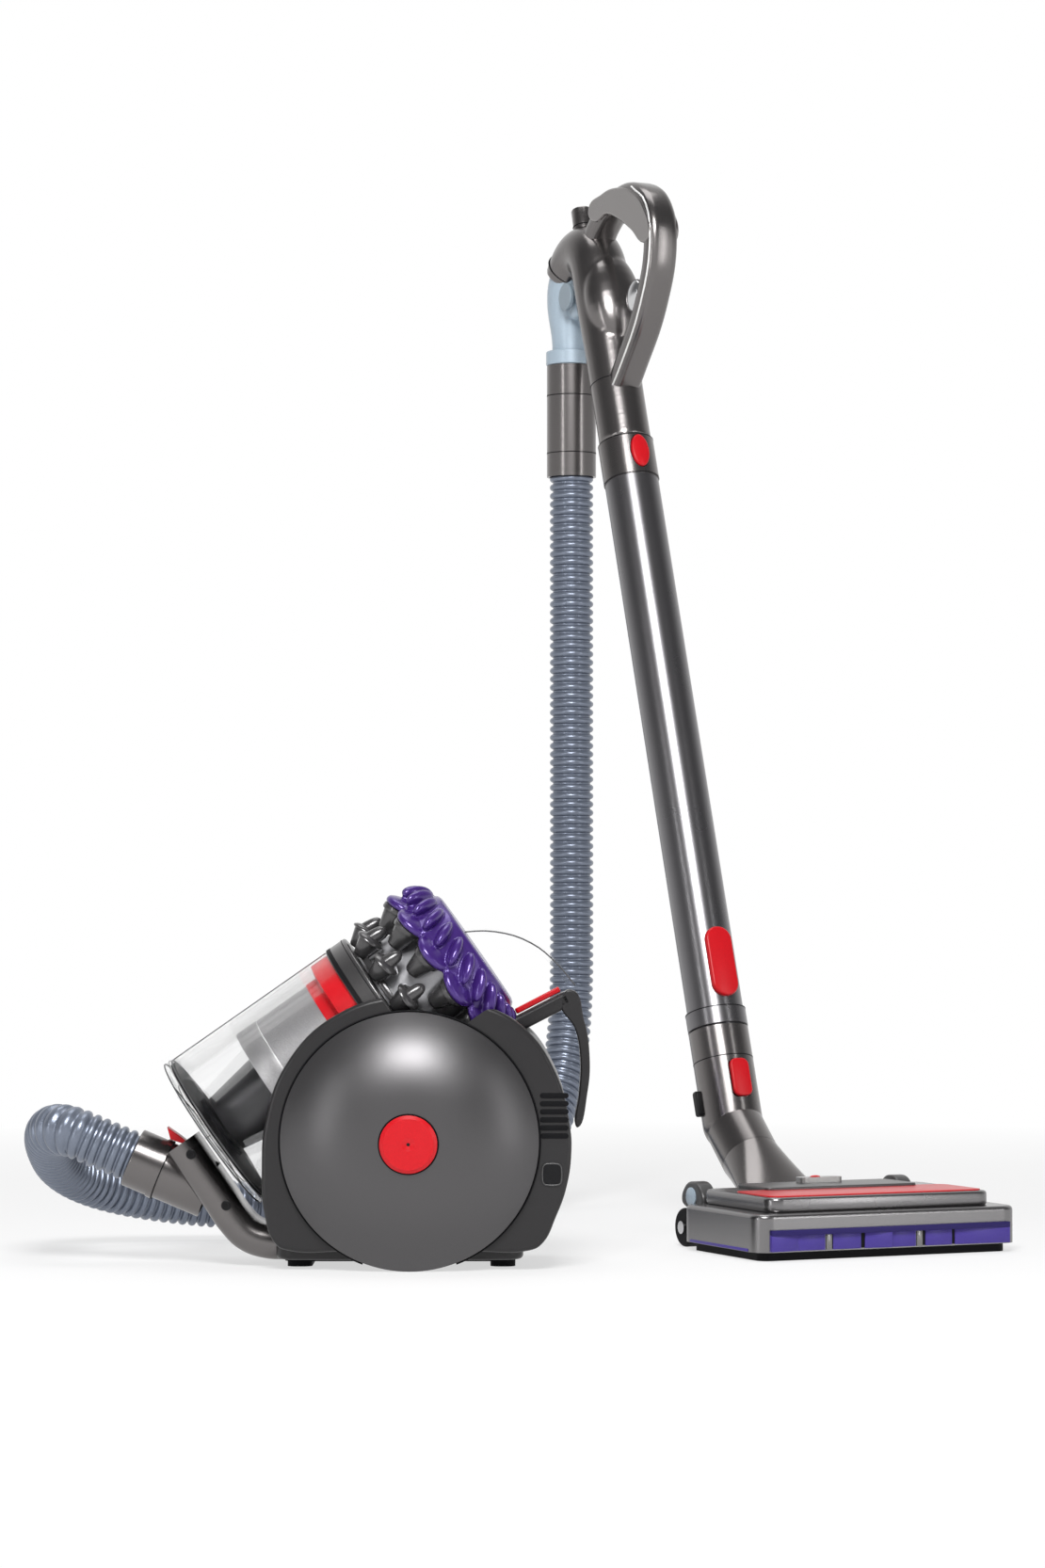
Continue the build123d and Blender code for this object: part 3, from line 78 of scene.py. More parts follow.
# %% Node helpers of the studio
def fade(tree, value, span, ends, kind="SMOOTHSTEP"):
    """Turn a value into a share that runs from one end to the other over a span."""
    ramp = tree.nodes.new("ShaderNodeMapRange")
    ramp.interpolation_type = kind
    ramp.inputs["From Min"].default_value, ramp.inputs["From Max"].default_value = span
    ramp.inputs["To Min"].default_value, ramp.inputs["To Max"].default_value = ends
    tree.links.new(value, ramp.inputs["Value"])
    return ramp.outputs["Result"]


def combine(tree, operation, first, second):
    """Combine two values by a math node."""
    step = tree.nodes.new("ShaderNodeMath")
    step.operation = operation
    tree.links.new(first, step.inputs[0])
    tree.links.new(second, step.inputs[1])
    return step.outputs[0]


def blend(tree, factor, first, second):
    """Mix two colours, each of them plain or from another node."""
    mix = tree.nodes.new("ShaderNodeMix")
    mix.data_type = "RGBA"
    tree.links.new(factor, mix.inputs["Factor"])
    for side, colour in (("A", first), ("B", second)):
        if isinstance(colour, tuple):
            mix.inputs[side].default_value = (*colour, 1)
        else:
            tree.links.new(colour, mix.inputs[side])
    return mix.outputs["Result"]


def shown(tree):
    """1 for a ray that shows what it meets: straight to the camera, mirrored or looked through."""
    rays = tree.nodes.new("ShaderNodeLightPath")
    seen = combine(tree, "MAXIMUM", rays.outputs["Is Camera Ray"], rays.outputs["Is Glossy Ray"])
    return combine(tree, "MAXIMUM", seen, rays.outputs["Is Transmission Ray"])


# %% Studio world
scene = bpy.context.scene
scene.view_settings.view_transform = "Standard"
world = bpy.data.worlds.new("studio_world")
scene.world = world
world.use_nodes = True
tree = world.node_tree
background = tree.nodes["Background"]
background.inputs["Strength"].default_value = 1.0
sky_place = tree.nodes.new("ShaderNodeTexCoord")
sky_split = tree.nodes.new("ShaderNodeSeparateXYZ")
tree.links.new(sky_place.outputs["Generated"], sky_split.inputs[0])
away, rise = sky_split.outputs["Y"], sky_split.outputs["Z"]
dim_front, dim_back = (0.035, 0.035, 0.037), (0.42, 0.42, 0.43)
wall_grey, wall_white = (0.16, 0.16, 0.164), (1.0, 1.0, 1.0)
gentle_light = blend(tree, fade(tree, away, span=(-0.55, 0.55), ends=(0, 1)), dim_front, dim_back)
back_share = fade(tree, away, span=(-0.1, 0.85), ends=(0, 1))
low_share = fade(tree, rise, span=(0, 0.28), ends=(1, 0))
room_colour = blend(tree, combine(tree, "MAXIMUM", back_share, low_share), wall_grey, wall_white)
tree.links.new(blend(tree, shown(tree), gentle_light, room_colour), background.inputs["Color"])
print("world nodes", len(tree.nodes))


# %% Soft boxes
def soft_box(name, place, aim, size, watts):
    """Add an area lamp that faces a point, as a studio soft box does."""
    bpy.ops.object.light_add(type="AREA", location=place)
    lamp = bpy.context.object
    lamp.name = name
    lamp.data.shape = "RECTANGLE"
    lamp.data.size, lamp.data.size_y = size
    lamp.data.energy = watts
    lamp.rotation_euler = (Vector(aim) - Vector(place)).to_track_quat("-Z", "Y").to_euler()
    return lamp


boxes = [
    soft_box("key_box", place=(0.0, -1.9, 2.05), aim=(0, 0, 0.15), size=(1.0, 0.92), watts=72),
    soft_box("left_strip", place=(-2.4, -2.2, 0.9), aim=(0.1, 0.3, 0.5), size=(0.2, 2.2), watts=16),
    soft_box("right_strip", place=(2.6, -1.6, 0.9), aim=(0.3, 0.3, 0.5), size=(0.2, 2.2), watts=13),
    soft_box("top_box", place=(0.1, 0.6, 3.0), aim=(0.1, 0.3, 0.2), size=(1.6, 1.2), watts=20),
]
print("soft boxes", [box.name for box in boxes])

# %% Pale floor
bpy.ops.mesh.primitive_plane_add(size=24, location=(0.1, 0.25, 0))
floor = bpy.context.object
floor.name = "floor"
floor_finish = bpy.data.materials.new("pale_floor")
floor_finish.use_nodes = True
tree = floor_finish.node_tree
matte = tree.nodes["Principled BSDF"]
matte.inputs["Base Color"].default_value = (0.88, 0.88, 0.88, 1)
matte.inputs["Roughness"].default_value = 0.7
glow = tree.nodes.new("ShaderNodeEmission")
glow.inputs["Color"].default_value = (1, 1, 1, 1)
floor_spot = tree.nodes.new("ShaderNodeTexCoord")
floor_reach = tree.nodes.new("ShaderNodeVectorMath")
floor_reach.operation = "LENGTH"
tree.links.new(floor_spot.outputs["Object"], floor_reach.inputs[0])
glow_share = fade(tree, floor_reach.outputs["Value"], span=(0.6, 2.0), ends=(0.62, 1.0), kind="LINEAR")
floor_mix = tree.nodes.new("ShaderNodeMixShader")
tree.links.new(combine(tree, "MULTIPLY", shown(tree), glow_share), floor_mix.inputs[0])
tree.links.new(matte.outputs[0], floor_mix.inputs[1])
tree.links.new(glow.outputs[0], floor_mix.inputs[2])
tree.links.new(floor_mix.outputs[0], tree.nodes["Material Output"].inputs["Surface"])
floor.data.materials.append(floor_finish)
print("floor nodes", len(tree.nodes))

# %% [markdown]
# ## Finishes
#
# Nearly every surface is moulded plastic, painted with a fine metallic flake or coloured right through. One
# flat colour each would do, but a large smooth face then looks like a drawing. One helper mixes them all: a
# fine noise shifts the colour a little and gives bare plastic a bump far below a millimetre, as a
# tool-finished mould leaves it, and a broad noise varies the gloss. Paint and clear plastic are smooth and
# have no bump. Values that are the same all over stay on the shader's own sockets.


# %% Finish helper
def finish(name, colour, roughness, metallic=0.0, spread=0.06, grain=900.0, bump=0.00002, coat=0.0,
           mirror=0.5):
    """A moulded or painted surface: colour with a fine spread, uneven gloss and a faint grain."""
    made = bpy.data.materials.new(name)
    made.use_nodes = True
    nodes_of = made.node_tree.nodes
    links_of = made.node_tree.links
    shader = nodes_of["Principled BSDF"]
    shader.inputs["Metallic"].default_value = metallic
    shader.inputs["Specular IOR Level"].default_value = mirror
    shader.inputs["Coat Weight"].default_value = coat
    shader.inputs["Coat Roughness"].default_value = 0.12
    place = nodes_of.new("ShaderNodeTexCoord")
    fine = nodes_of.new("ShaderNodeTexNoise")
    fine.inputs["Scale"].default_value = grain
    fine.inputs["Detail"].default_value = 2.0
    links_of.new(place.outputs["Object"], fine.inputs["Vector"])
    ramp = nodes_of.new("ShaderNodeValToRGB")
    ramp.color_ramp.elements[0].position = 0.3
    ramp.color_ramp.elements[1].position = 0.7
    ramp.color_ramp.elements[0].color = (*[c * (1 - spread) for c in colour], 1)
    ramp.color_ramp.elements[1].color = (*[min(1, c * (1 + spread)) for c in colour], 1)
    links_of.new(fine.outputs["Fac"], ramp.inputs["Fac"])
    links_of.new(ramp.outputs["Color"], shader.inputs["Base Color"])
    broad = nodes_of.new("ShaderNodeTexNoise")
    broad.inputs["Scale"].default_value = 14.0
    links_of.new(place.outputs["Object"], broad.inputs["Vector"])
    gloss = nodes_of.new("ShaderNodeMapRange")
    gloss.inputs["To Min"].default_value = roughness * 0.92
    gloss.inputs["To Max"].default_value = roughness * 1.08
    links_of.new(broad.outputs["Fac"], gloss.inputs["Value"])
    links_of.new(gloss.outputs["Result"], shader.inputs["Roughness"])
    if bump > 0:
        relief = nodes_of.new("ShaderNodeBump")
        relief.inputs["Strength"].default_value = 0.35
        relief.inputs["Distance"].default_value = bump
        links_of.new(fine.outputs["Fac"], relief.inputs["Height"])
        links_of.new(relief.outputs["Normal"], shader.inputs["Normal"])
    return made


def clear_finish(name, colour, alpha, roughness=0.04):
    """Clear moulded plastic: it lets light straight through and keeps a sharp gloss."""
    made = finish(name, colour, roughness, spread=0.02, bump=0)
    shader = made.node_tree.nodes["Principled BSDF"]
    shader.inputs["Transmission Weight"].default_value = 1.0
    shader.inputs["IOR"].default_value = 1.3
    shader.inputs["Alpha"].default_value = alpha
    return made


def metal_paint(name, colour, roughness, spread=0.03, grain=2600):
    """Smooth paint with a fine metal flake."""
    return finish(name, colour, roughness, metallic=0.95, spread=spread, grain=grain, bump=0)


# %% Finishes of this machine
ball_paint = metal_paint("ball_paint", (0.115, 0.112, 0.115), 0.40, spread=0.04)
casing_smoke = finish("casing_smoke", (0.020, 0.019, 0.020), 0.30, grain=1500, mirror=0.35)
nickel_paint = metal_paint("nickel_paint", (0.175, 0.165, 0.163), 0.24)
tube_paint = metal_paint("tube_paint", (0.18, 0.176, 0.183), 0.28, grain=2400)
# A lighter copy of the nickel paint for the grip's crown: painted light on its flat face.
lit_crown_nickel = metal_paint("lit_crown_nickel", (0.27, 0.257, 0.253), 0.28)
red_plastic = finish("red_plastic", (0.56, 0.006, 0.012), 0.32, mirror=0.3)
# The shelf's purple is darker than the head's purple: painted shade, for the shadow the shelf lies in.
shelf_shade_purple = finish("shelf_shade_purple", (0.020, 0.013, 0.10), 0.45, mirror=0.2)
cap_purple = finish("cap_purple", (0.055, 0.02, 0.185), 0.24, metallic=0.3, coat=0.25)
head_purple = finish("head_purple", (0.060, 0.038, 0.26), 0.36, mirror=0.3)
hose_grey = finish("hose_grey", (0.185, 0.21, 0.265), 0.32, metallic=0.55)
swivel_blue = finish("swivel_blue", (0.40, 0.49, 0.57), 0.34, metallic=0.1)
pin_blue = finish("pin_blue", (0.26, 0.32, 0.37), 0.34, metallic=0.1)
cup_graphite = finish("cup_graphite", (0.075, 0.073, 0.075), 0.25, metallic=0.5, grain=1800, coat=0.3)
drum_silver = finish("drum_silver", (0.47, 0.47, 0.49), 0.30, metallic=0.6)
collar_grey = finish("collar_grey", (0.11, 0.107, 0.108), 0.26, metallic=0.7)
shroud_steel = finish("shroud_steel", (0.40, 0.395, 0.40), 0.36, metallic=0.7, spread=0.16, grain=1100)
cone_grey = finish("cone_grey", (0.06, 0.059, 0.062), 0.28, metallic=0.6)
rubber_black = finish("rubber_black", (0.006, 0.006, 0.007), 0.55, spread=0.2, mirror=0.1)
satin_black = finish("satin_black", (0.010, 0.010, 0.011), 0.4, spread=0.15, mirror=0.15)
bright_steel = finish("bright_steel", (0.60, 0.60, 0.61), 0.18, metallic=1.0, spread=0.03)
head_grey = metal_paint("head_grey", (0.215, 0.21, 0.213), 0.27, grain=2400)
plate_grey = finish("plate_grey", (0.095, 0.094, 0.095), 0.38, metallic=0.6)
line_white = finish("line_white", (0.80, 0.80, 0.79), 0.25, metallic=0.3)
line_grey = finish("line_grey", (0.07, 0.07, 0.073), 0.35)
pale_grey = finish("pale_grey", (0.36, 0.355, 0.35), 0.30, metallic=0.8)
clear_shell = clear_finish("clear_shell", (0.97, 0.975, 0.98), 0.20)
copper_wound = finish("copper_wound", (0.42, 0.16, 0.06), 0.35, metallic=0.9, spread=0.2, grain=1200)

wears = [
    (ball_paint, ["wheel_near", "wheel_far"]),
    (casing_smoke, ["casing_near", "casing_far", "exhaust_grille", "base_tray", "carry_handle"]),
    (nickel_paint, ["cradle_arm", "inlet_pipe", "inlet_cuff", "wand_cuff", "handle_pipe", "handle_grip",
                    "wand_collar", "neck_pipe", "neck_boot"]),
    (tube_paint, ["outer_tube", "inner_tube"]),
    (red_plastic, ["power_button", "rewind_button", "hose_catch", "separator_ring", "bin_trigger",
                   "wand_button", "telescope_catch", "neck_button", "deck_trim"]),
    (cap_purple, ["cyclone_cap"]),
    (head_purple, ["front_bumper"]),
    (hose_grey, ["hose"]),
    (swivel_blue, ["swivel_collar", "swivel_elbow"]),
    (pin_blue, ["elbow_pin"]),
    (cup_graphite, ["lower_cyclones", "upper_cyclones"]),
    (collar_grey, ["bin_collar"]),
    (shroud_steel, ["shroud"]),
    (cone_grey, ["dust_cone"]),
    (rubber_black, ["flap_seal", "head_wheel_left", "head_wheel_right", "glide_plate", "sole_plate"]),
    (satin_black, ["cord_outlet", "cord_reel", "motor_can"]),
    (bright_steel, ["axle_near", "axle_far", "flap_pin", "pivot_pin", "head_axle", "suction_trigger"]),
    (head_grey, ["head_shell", "head_deck"]),
    (pale_grey, ["suction_slider"]),
    (clear_shell, ["bin_tube", "bin_flap", "clear_arch"]),
    (copper_wound, ["motor_rotor"]),
]
for material, members in wears:
    for member in members:
        nodes[member].data.materials.clear()
        nodes[member].data.materials.append(material)
bare = sorted(set(nodes) - {member for material, members in wears for member in members})
print("finishes", len(wears), "nodes without one", bare)

# %% [markdown]
# ## The ribbed hose
#
# The hose is a thin plastic skin over a coil, so it shows close ribs all along. It leaves the inlet, makes a
# low loop on the left, runs behind the body on the floor and rises straight to the cuff of the wand. One
# smooth curve gives its line.


# %% Hose line
def smooth_curve(name, points, order, steps):
    """A smooth curve in space, drawn towards points given in metres."""
    data = bpy.data.curves.new(name, "CURVE")
    data.dimensions = "3D"
    data.resolution_u = steps
    line = data.splines.new("NURBS")
    line.points.add(len(points) - 1)
    for point, spot in zip(line.points, points):
        point.co = (*spot, 1)
    line.order_u = order
    line.use_endpoint_u = True
    return data


rise_x, rise_y = 150.16, 660.72
hose_route = [
    (-225.99, 0, 84.23),
    (-249.0, 0, 94.0),
    (-334.61, 0, 130.34),
    (-325.0, 200.0, 48.0),
    (-60.0, 240.0, 24.0),
    (rise_x, rise_y, 24.0),
    (rise_x, rise_y, 494.0),
    (rise_x, rise_y, 815.0),
]
hose_radius = 23 * MM
hose_groove = 3.4 * MM
rib_pitch = 8.8 * MM
line_data = smooth_curve("hose_line", [[c * MM for c in spot] for spot in hose_route], order=3, steps=48)
hose_line = bpy.data.objects.new("hose_line", line_data)
scene.collection.objects.link(hose_line)
bpy.context.view_layer.update()
line_mesh = bpy.data.meshes.new_from_object(hose_line)
hose_path = [v.co.copy() for v in line_mesh.vertices]
hose_length = sum((b - a).length for a, b in zip(hose_path, hose_path[1:]))
rib_count = int(hose_length / rib_pitch)
rib_length = hose_length / rib_count
print("hose length", round(hose_length, 3), "ribs", rib_count)

# %% [markdown]
# ## Helpers for modelling
#
# An operator acts on all that is selected, so every helper picks its piece first. `ringed` turns a round
# piece ring by ring, as on a lathe. `settle` puts a piece in its place and says which body carries it.


# %% Modelling helpers
def start_fresh():
    """Leave edit mode and deselect everything, because an operator acts on all that is selected."""
    if bpy.context.mode != "OBJECT":
        bpy.ops.object.mode_set(mode="OBJECT")
    bpy.ops.object.select_all(action="DESELECT")


def pick(piece):
    """Select one object and make it active."""
    start_fresh()
    piece.select_set(True)
    bpy.context.view_layer.objects.active = piece


def add_modifier(piece, kind, **settings):
    """Add a modifier with its settings and apply it at once."""
    pick(piece)
    modifier = piece.modifiers.new(kind.lower(), kind)
    for key, value in settings.items():
        setattr(modifier, key, value)
    bpy.ops.object.modifier_apply(modifier=modifier.name)
    return piece


def ringed(name, rings, sides=48, closed=False):
    """Turn a round piece as on a lathe: one circle, extruded and scaled from ring to ring along Z."""
    start_fresh()
    radius, height = rings[0]
    bpy.ops.mesh.primitive_circle_add(vertices=sides, radius=radius)
    piece = bpy.context.object
    piece.name = name
    bpy.ops.object.mode_set(mode="EDIT")
    bpy.ops.mesh.select_all(action="SELECT")
    bpy.ops.transform.translate(value=(0, 0, height))
    for (r0, z0), (r1, z1) in zip(rings, rings[1:]):
        bpy.ops.mesh.extrude_region_move(TRANSFORM_OT_translate={"value": (0, 0, z1 - z0)})
        bpy.ops.transform.resize(value=(r1 / r0, r1 / r0, 1))
    bpy.ops.mesh.select_all(action="SELECT")
    if closed:
        bpy.ops.mesh.remove_doubles(threshold=1e-6)
    else:
        bpy.ops.mesh.fill_holes(sides=0)
    bpy.ops.mesh.normals_make_consistent(inside=False)
    bpy.ops.object.mode_set(mode="OBJECT")
    return piece


def apply_place(piece, place=None):
    """Put a piece in its place, if one is given, and apply its place to its mesh."""
    pick(piece)
    if place is not None:
        piece.matrix_world = place
    bpy.ops.object.transform_apply(location=True, rotation=True, scale=True)
    return piece


def settle(piece, body, material, place=None, angle=40):
    """Put a piece in its place, smooth it, and give it a finish and its body."""
    apply_place(piece, place)
    bpy.ops.object.shade_smooth_by_angle(angle=math.radians(angle))
    piece.data.materials.clear()
    piece.data.materials.append(material)
    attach(piece, body)
    return piece


# %% [markdown]
# ## Ribs on a line
#
# A texture could draw the ribs, but the outline of the hose would stay smooth. So a single rib is modelled
# once, repeated along a straight row and then bent on the hose's line, which keeps every rib square to it.

# %% Hose ribs bent on the line
rib_rings = [
    (hose_radius - hose_groove, 0),
    (hose_radius - hose_groove, rib_length * 0.12),
    (hose_radius - 1.5 * MM, rib_length * 0.22),
    (hose_radius - 0.4 * MM, rib_length * 0.36),
    (hose_radius, rib_length * 0.54),
    (hose_radius - 0.4 * MM, rib_length * 0.72),
    (hose_radius - 1.5 * MM, rib_length * 0.86),
    (hose_radius - hose_groove, rib_length * 0.96),
    (hose_radius - hose_groove, rib_length),
]
start_fresh()
bpy.ops.mesh.primitive_circle_add(vertices=48, radius=rib_rings[0][0], rotation=(0, math.pi / 2, 0))
hose_skin = bpy.context.object
hose_skin.name = "hose_skin"
bpy.ops.object.transform_apply(location=True, rotation=True, scale=True)
bpy.ops.object.mode_set(mode="EDIT")
bpy.ops.mesh.select_all(action="SELECT")
for (r0, x0), (r1, x1) in zip(rib_rings, rib_rings[1:]):
    bpy.ops.mesh.extrude_region_move(TRANSFORM_OT_translate={"value": (x1 - x0, 0, 0)})
    bpy.ops.transform.resize(value=(1, r1 / r0, r1 / r0))
bpy.ops.mesh.select_all(action="SELECT")
bpy.ops.mesh.normals_make_consistent(inside=False)
bpy.ops.object.mode_set(mode="OBJECT")
add_modifier(hose_skin, "ARRAY", count=rib_count, use_relative_offset=False, use_constant_offset=True,
             constant_offset_displace=(rib_length, 0, 0), use_merge_vertices=True, merge_threshold=1e-5)
add_modifier(hose_skin, "CURVE", object=hose_line, deform_axis="POS_X")
settle(hose_skin, "canister", hose_grey, angle=60)
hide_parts("hose")
bpy.data.objects.remove(hose_line)
print("hose faces", len(hose_skin.data.polygons))

# %% [markdown]
# ## Frames to work in
#
# A tilted bin or a leaning wand is awkward to model in place. Each piece is made upright at the origin
# instead and then set into the frame of what carries it. Three frames are enough: along the bin's axis,
# along the wand and on the floor head.


# %% Frames of the bin, the wand and the head
def place_at(origin, x_dir, z_dir):
    """Matrix that sets a piece made at the origin into a frame of the machine."""
    z = Vector(z_dir).normalized()
    x = Vector(x_dir)
    x = (x - z * x.dot(z)).normalized()
    return Matrix.Translation(origin) @ Matrix((x, z.cross(x), z)).transposed().to_4x4()


bin_tilt = math.radians(35)
bin_axis = Vector((math.cos(bin_tilt), 0, math.sin(bin_tilt)))
bin_up = Vector((-math.sin(bin_tilt), 0, math.cos(bin_tilt)))
bin_base = Vector((-172, 0, 119)) * MM


def bin_place(distance, ring=0.0, turn=0.0, lean=0.0):
    """Frame at a distance along the bin, moved out to a ring, turned round the axis, leaning outward."""
    angle = math.radians(turn)
    out = bin_up * math.cos(angle) + bin_axis.cross(bin_up) * math.sin(angle)
    tip = bin_axis * math.cos(math.radians(lean)) + out * math.sin(math.radians(lean))
    return place_at(bin_base + (bin_axis * distance + out * ring) * MM, out, tip)


head_yaw = math.radians(25)
wand_lean = math.radians(18.75)
across = Vector((math.cos(head_yaw), math.sin(head_yaw), 0))
backward = Vector((-math.sin(head_yaw), math.cos(head_yaw), 0))
upward = Vector((0, 0, 1))
head_middle = Vector((399.5, 126, 0)) * MM


def side_point(back, height, lateral=0.0):
    """Point by its distance behind the head's middle, its height and its distance to the right."""
    return head_middle + (backward * back + upward * height + across * lateral) * MM


wand_axis = backward * math.sin(wand_lean) + upward * math.cos(wand_lean)
wand_front = upward * math.sin(wand_lean) - backward * math.cos(wand_lean)
knee = side_point(228.5, 105)


def wand_place(distance):
    """Frame across the wand at a distance from the knee."""
    return place_at(knee + wand_axis * distance * MM, across, wand_axis)


def wand_front_place(distance, reach):
    """Frame on the front of the wand, facing forward, with its Y axis along the wand."""
    spot = knee + (wand_axis * distance + wand_front * reach) * MM
    return place_at(spot, across, wand_front)


print("bin axis", [round(c, 3) for c in bin_axis], "wand axis", [round(c, 3) for c in wand_axis])

# %% [markdown]
# ## Copies, plates, bars and lumps
#
# Most fittings are one of a few simple forms: a plate with round corners, a bar along a bent line, a lump
# like a pebble, or one piece copied many times. Each could be modelled anew every time. A helper for each
# form keeps the steps alike and leaves only the sizes to write. A copy gets a mesh of its own, because its
# place is applied to it.


# %% More modelling helpers
def mm_rings(rings):
    """Ring sizes written in millimetres, in metres."""
    return [(r * MM, z * MM) for r, z in rings]


def joined(pieces, name):
    """Join several pieces into one mesh."""
    pick(pieces[0])
    for piece in pieces:
        piece.select_set(True)
    bpy.ops.object.join()
    pieces[0].name = name
    return pieces[0]


def copy_to(piece, place):
    """Copy a piece, with its own mesh, and apply its new place."""
    pick(piece)
    bpy.ops.object.duplicate(linked=False)
    return apply_place(bpy.context.object, place)


def set_round(piece, places, name):
    """Copy one piece to many places and join the copies; the first one goes."""
    twins = [copy_to(piece, place) for place in places]
    bpy.data.objects.remove(piece)
    return joined(twins, name)


def rounded_plate(name, width, length, thickness, corner, edge=0.6, segments=6):
    """A plate with round corners and soft edges, in millimetres, lying in XY about the origin."""
    start_fresh()
    bpy.ops.mesh.primitive_cube_add(size=1)
    piece = bpy.context.object
    piece.name = name
    piece.scale = (width * MM, length * MM, thickness * MM)
    apply_place(piece)
    bpy.ops.object.mode_set(mode="EDIT")
    bpy.ops.mesh.select_mode(type="EDGE")
    bpy.ops.mesh.select_all(action="DESELECT")
    bpy.ops.object.mode_set(mode="OBJECT")
    for border in piece.data.edges:
        a, b = (piece.data.vertices[i].co for i in border.vertices)
        border.select = abs(a.z - b.z) > 0.5 * thickness * MM
    bpy.ops.object.mode_set(mode="EDIT")
    bpy.ops.mesh.bevel(offset=corner * MM, segments=segments, affect="EDGES")
    bpy.ops.object.mode_set(mode="OBJECT")
    add_modifier(piece, "BEVEL", width=edge * MM, segments=3, limit_method="ANGLE",
                 angle_limit=math.radians(50))
    return piece


def meshed(name, data):
    """Make a mesh of a curve."""
    piece = bpy.data.objects.new(name, data)
    scene.collection.objects.link(piece)
    pick(piece)
    bpy.ops.object.convert(target="MESH")
    return bpy.context.object


def bent_curve(name, points, flatness, corners="AUTO", closed=False):
    """A curve, flat or in space, through points given in metres."""
    data = bpy.data.curves.new(name, "CURVE")
    data.dimensions = flatness
    line = data.splines.new("BEZIER")
    line.bezier_points.add(len(points) - 1)
    for point, spot in zip(line.bezier_points, points):
        point.co = spot
        point.handle_left_type = corners
        point.handle_right_type = corners
    line.use_cyclic_u = closed
    return data


def flat_points(points):
    """Points of a plane written in millimetres, in metres."""
    return [(x * MM, y * MM, 0) for x, y in points]


def oblong(reach_x, reach_y, corner, steps):
    """Outline with round corners whose centres lie at a reach from the middle, in millimetres."""
    outline = []
    for side_x, side_y, first in ((1, 1, 0), (-1, 1, 90), (-1, -1, 180), (1, -1, 270)):
        for step in range(steps):
            angle = math.radians(first + 90 / (steps - 1) * step)
            outline.append((side_x * reach_x + corner * math.cos(angle),
                            side_y * reach_y + corner * math.sin(angle)))
    return outline


def swept(name, points, radius, swell):
    """A round bar along a smooth line, as thick as it swells at each point, made a mesh."""
    data = smooth_curve(name, points, order=4, steps=16)
    data.bevel_depth = radius * MM
    data.bevel_resolution = 12
    data.use_fill_caps = True
    for point, size in zip(data.splines[0].points, swell):
        point.radius = size
    return meshed(name, data)


def pebble(name, size, place, segments=24):
    """A rounded lump: a ball stretched to three half sizes in millimetres and set in place."""
    start_fresh()
    bpy.ops.mesh.primitive_uv_sphere_add(segments=segments, ring_count=segments // 2, radius=1)
    piece = bpy.context.object
    piece.name = name
    return apply_place(piece, place @ Matrix.Diagonal((*[s * MM for s in size], 1)))


def melted(piece, voxel, rounds, strength=0.5):
    """Fuse overlapping shells into one moulding and soften the creases between them."""
    add_modifier(piece, "REMESH", mode="VOXEL", voxel_size=voxel * MM)
    add_modifier(piece, "SMOOTH", factor=strength, iterations=rounds)
    return piece


# %% [markdown]
# ## Cyclone cups
#
# Two rings of twelve small cups sit round a silver drum, dark and glossy. A cup of the lower ring wears a
# low lid with one blunt horn; a cup of the upper ring goes up into the purple cap. A whole ring could be cut
# from one block, but a cup is round about its own leaning axis. So one of each is turned from a stack of
# rings and copied round the bin, the upper ring half a step later than the lower one.

# %% Lower and upper cups
cup_count = 12
cup_step = 360 / cup_count
lower_turns = [cup_step * i for i in range(cup_count)]
upper_turns = [cup_step * (i + 0.5) for i in range(cup_count)]
lower_cup = ringed("lower_cup", mm_rings([
    (5.0, 0), (6.6, 0.8), (7.4, 2.6), (10.8, 14.5), (11.2, 16), (12.9, 16.4), (13.4, 17.2), (13.2, 18.2),
    (11.2, 19.8), (8.0, 21.2), (4.2, 22.0), (0.2, 22.2)]), sides=32)
horn_rings = [(7.4, -3), (7.0, 2), (6.2, 7), (5.2, 11), (3.8, 13.6), (1.8, 15), (0.2, 15.2)]
horn = ringed("horn", mm_rings(horn_rings), sides=24)
horn.matrix_world = place_at(Vector((0.5, 0, 19.5)) * MM, (1, 0, 0.4), (-0.375, 0, 0.927))
lower_cup = joined([lower_cup, horn], "lower_cup")
apply_place(lower_cup)
lower_level, lower_reach, lower_lean = 192, 62, 22
lower_places = [bin_place(lower_level, lower_reach, turn, lower_lean) for turn in lower_turns]
lower_cups = set_round(lower_cup, lower_places, "lower_cups")
foot_ring = ringed("foot_ring", mm_rings([(53.4, 192), (60.4, 192), (61, 193), (61, 197), (60.4, 198),
                                          (53.4, 198), (53.4, 192)]), sides=96, closed=True)
lower_cups = joined([lower_cups, copy_to(foot_ring, bin_place(0))], "lower_cups")
bpy.data.objects.remove(foot_ring)
settle(lower_cups, "bin", cup_graphite)
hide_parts("lower_cyclones")

upper_cup = ringed("upper_cup", mm_rings([
    (5.6, 0), (7.2, 0.9), (8.0, 2.8), (11.2, 16.5), (11.6, 18.5), (13.4, 19), (13.9, 20), (13.8, 23.4),
    (12.5, 24.4), (0.2, 24.6)]), sides=32)
upper_level, upper_reach, upper_lean = 222, 61, 24
upper_places = [bin_place(upper_level, upper_reach, turn, upper_lean) for turn in upper_turns]
upper_cups = set_round(upper_cup, upper_places, "upper_cups")
settle(upper_cups, "bin", cup_graphite)
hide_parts("upper_cyclones")

drum_sleeve = ringed("drum_sleeve", mm_rings([(50.1, 189.4), (54.2, 189.8), (54.2, 247), (50.1, 247.4),
                                              (50.1, 189.4)]), sides=96, closed=True)
settle(drum_sleeve, "bin", drum_silver, bin_place(0))
print("cups", len(lower_cups.data.polygons), len(upper_cups.data.polygons))

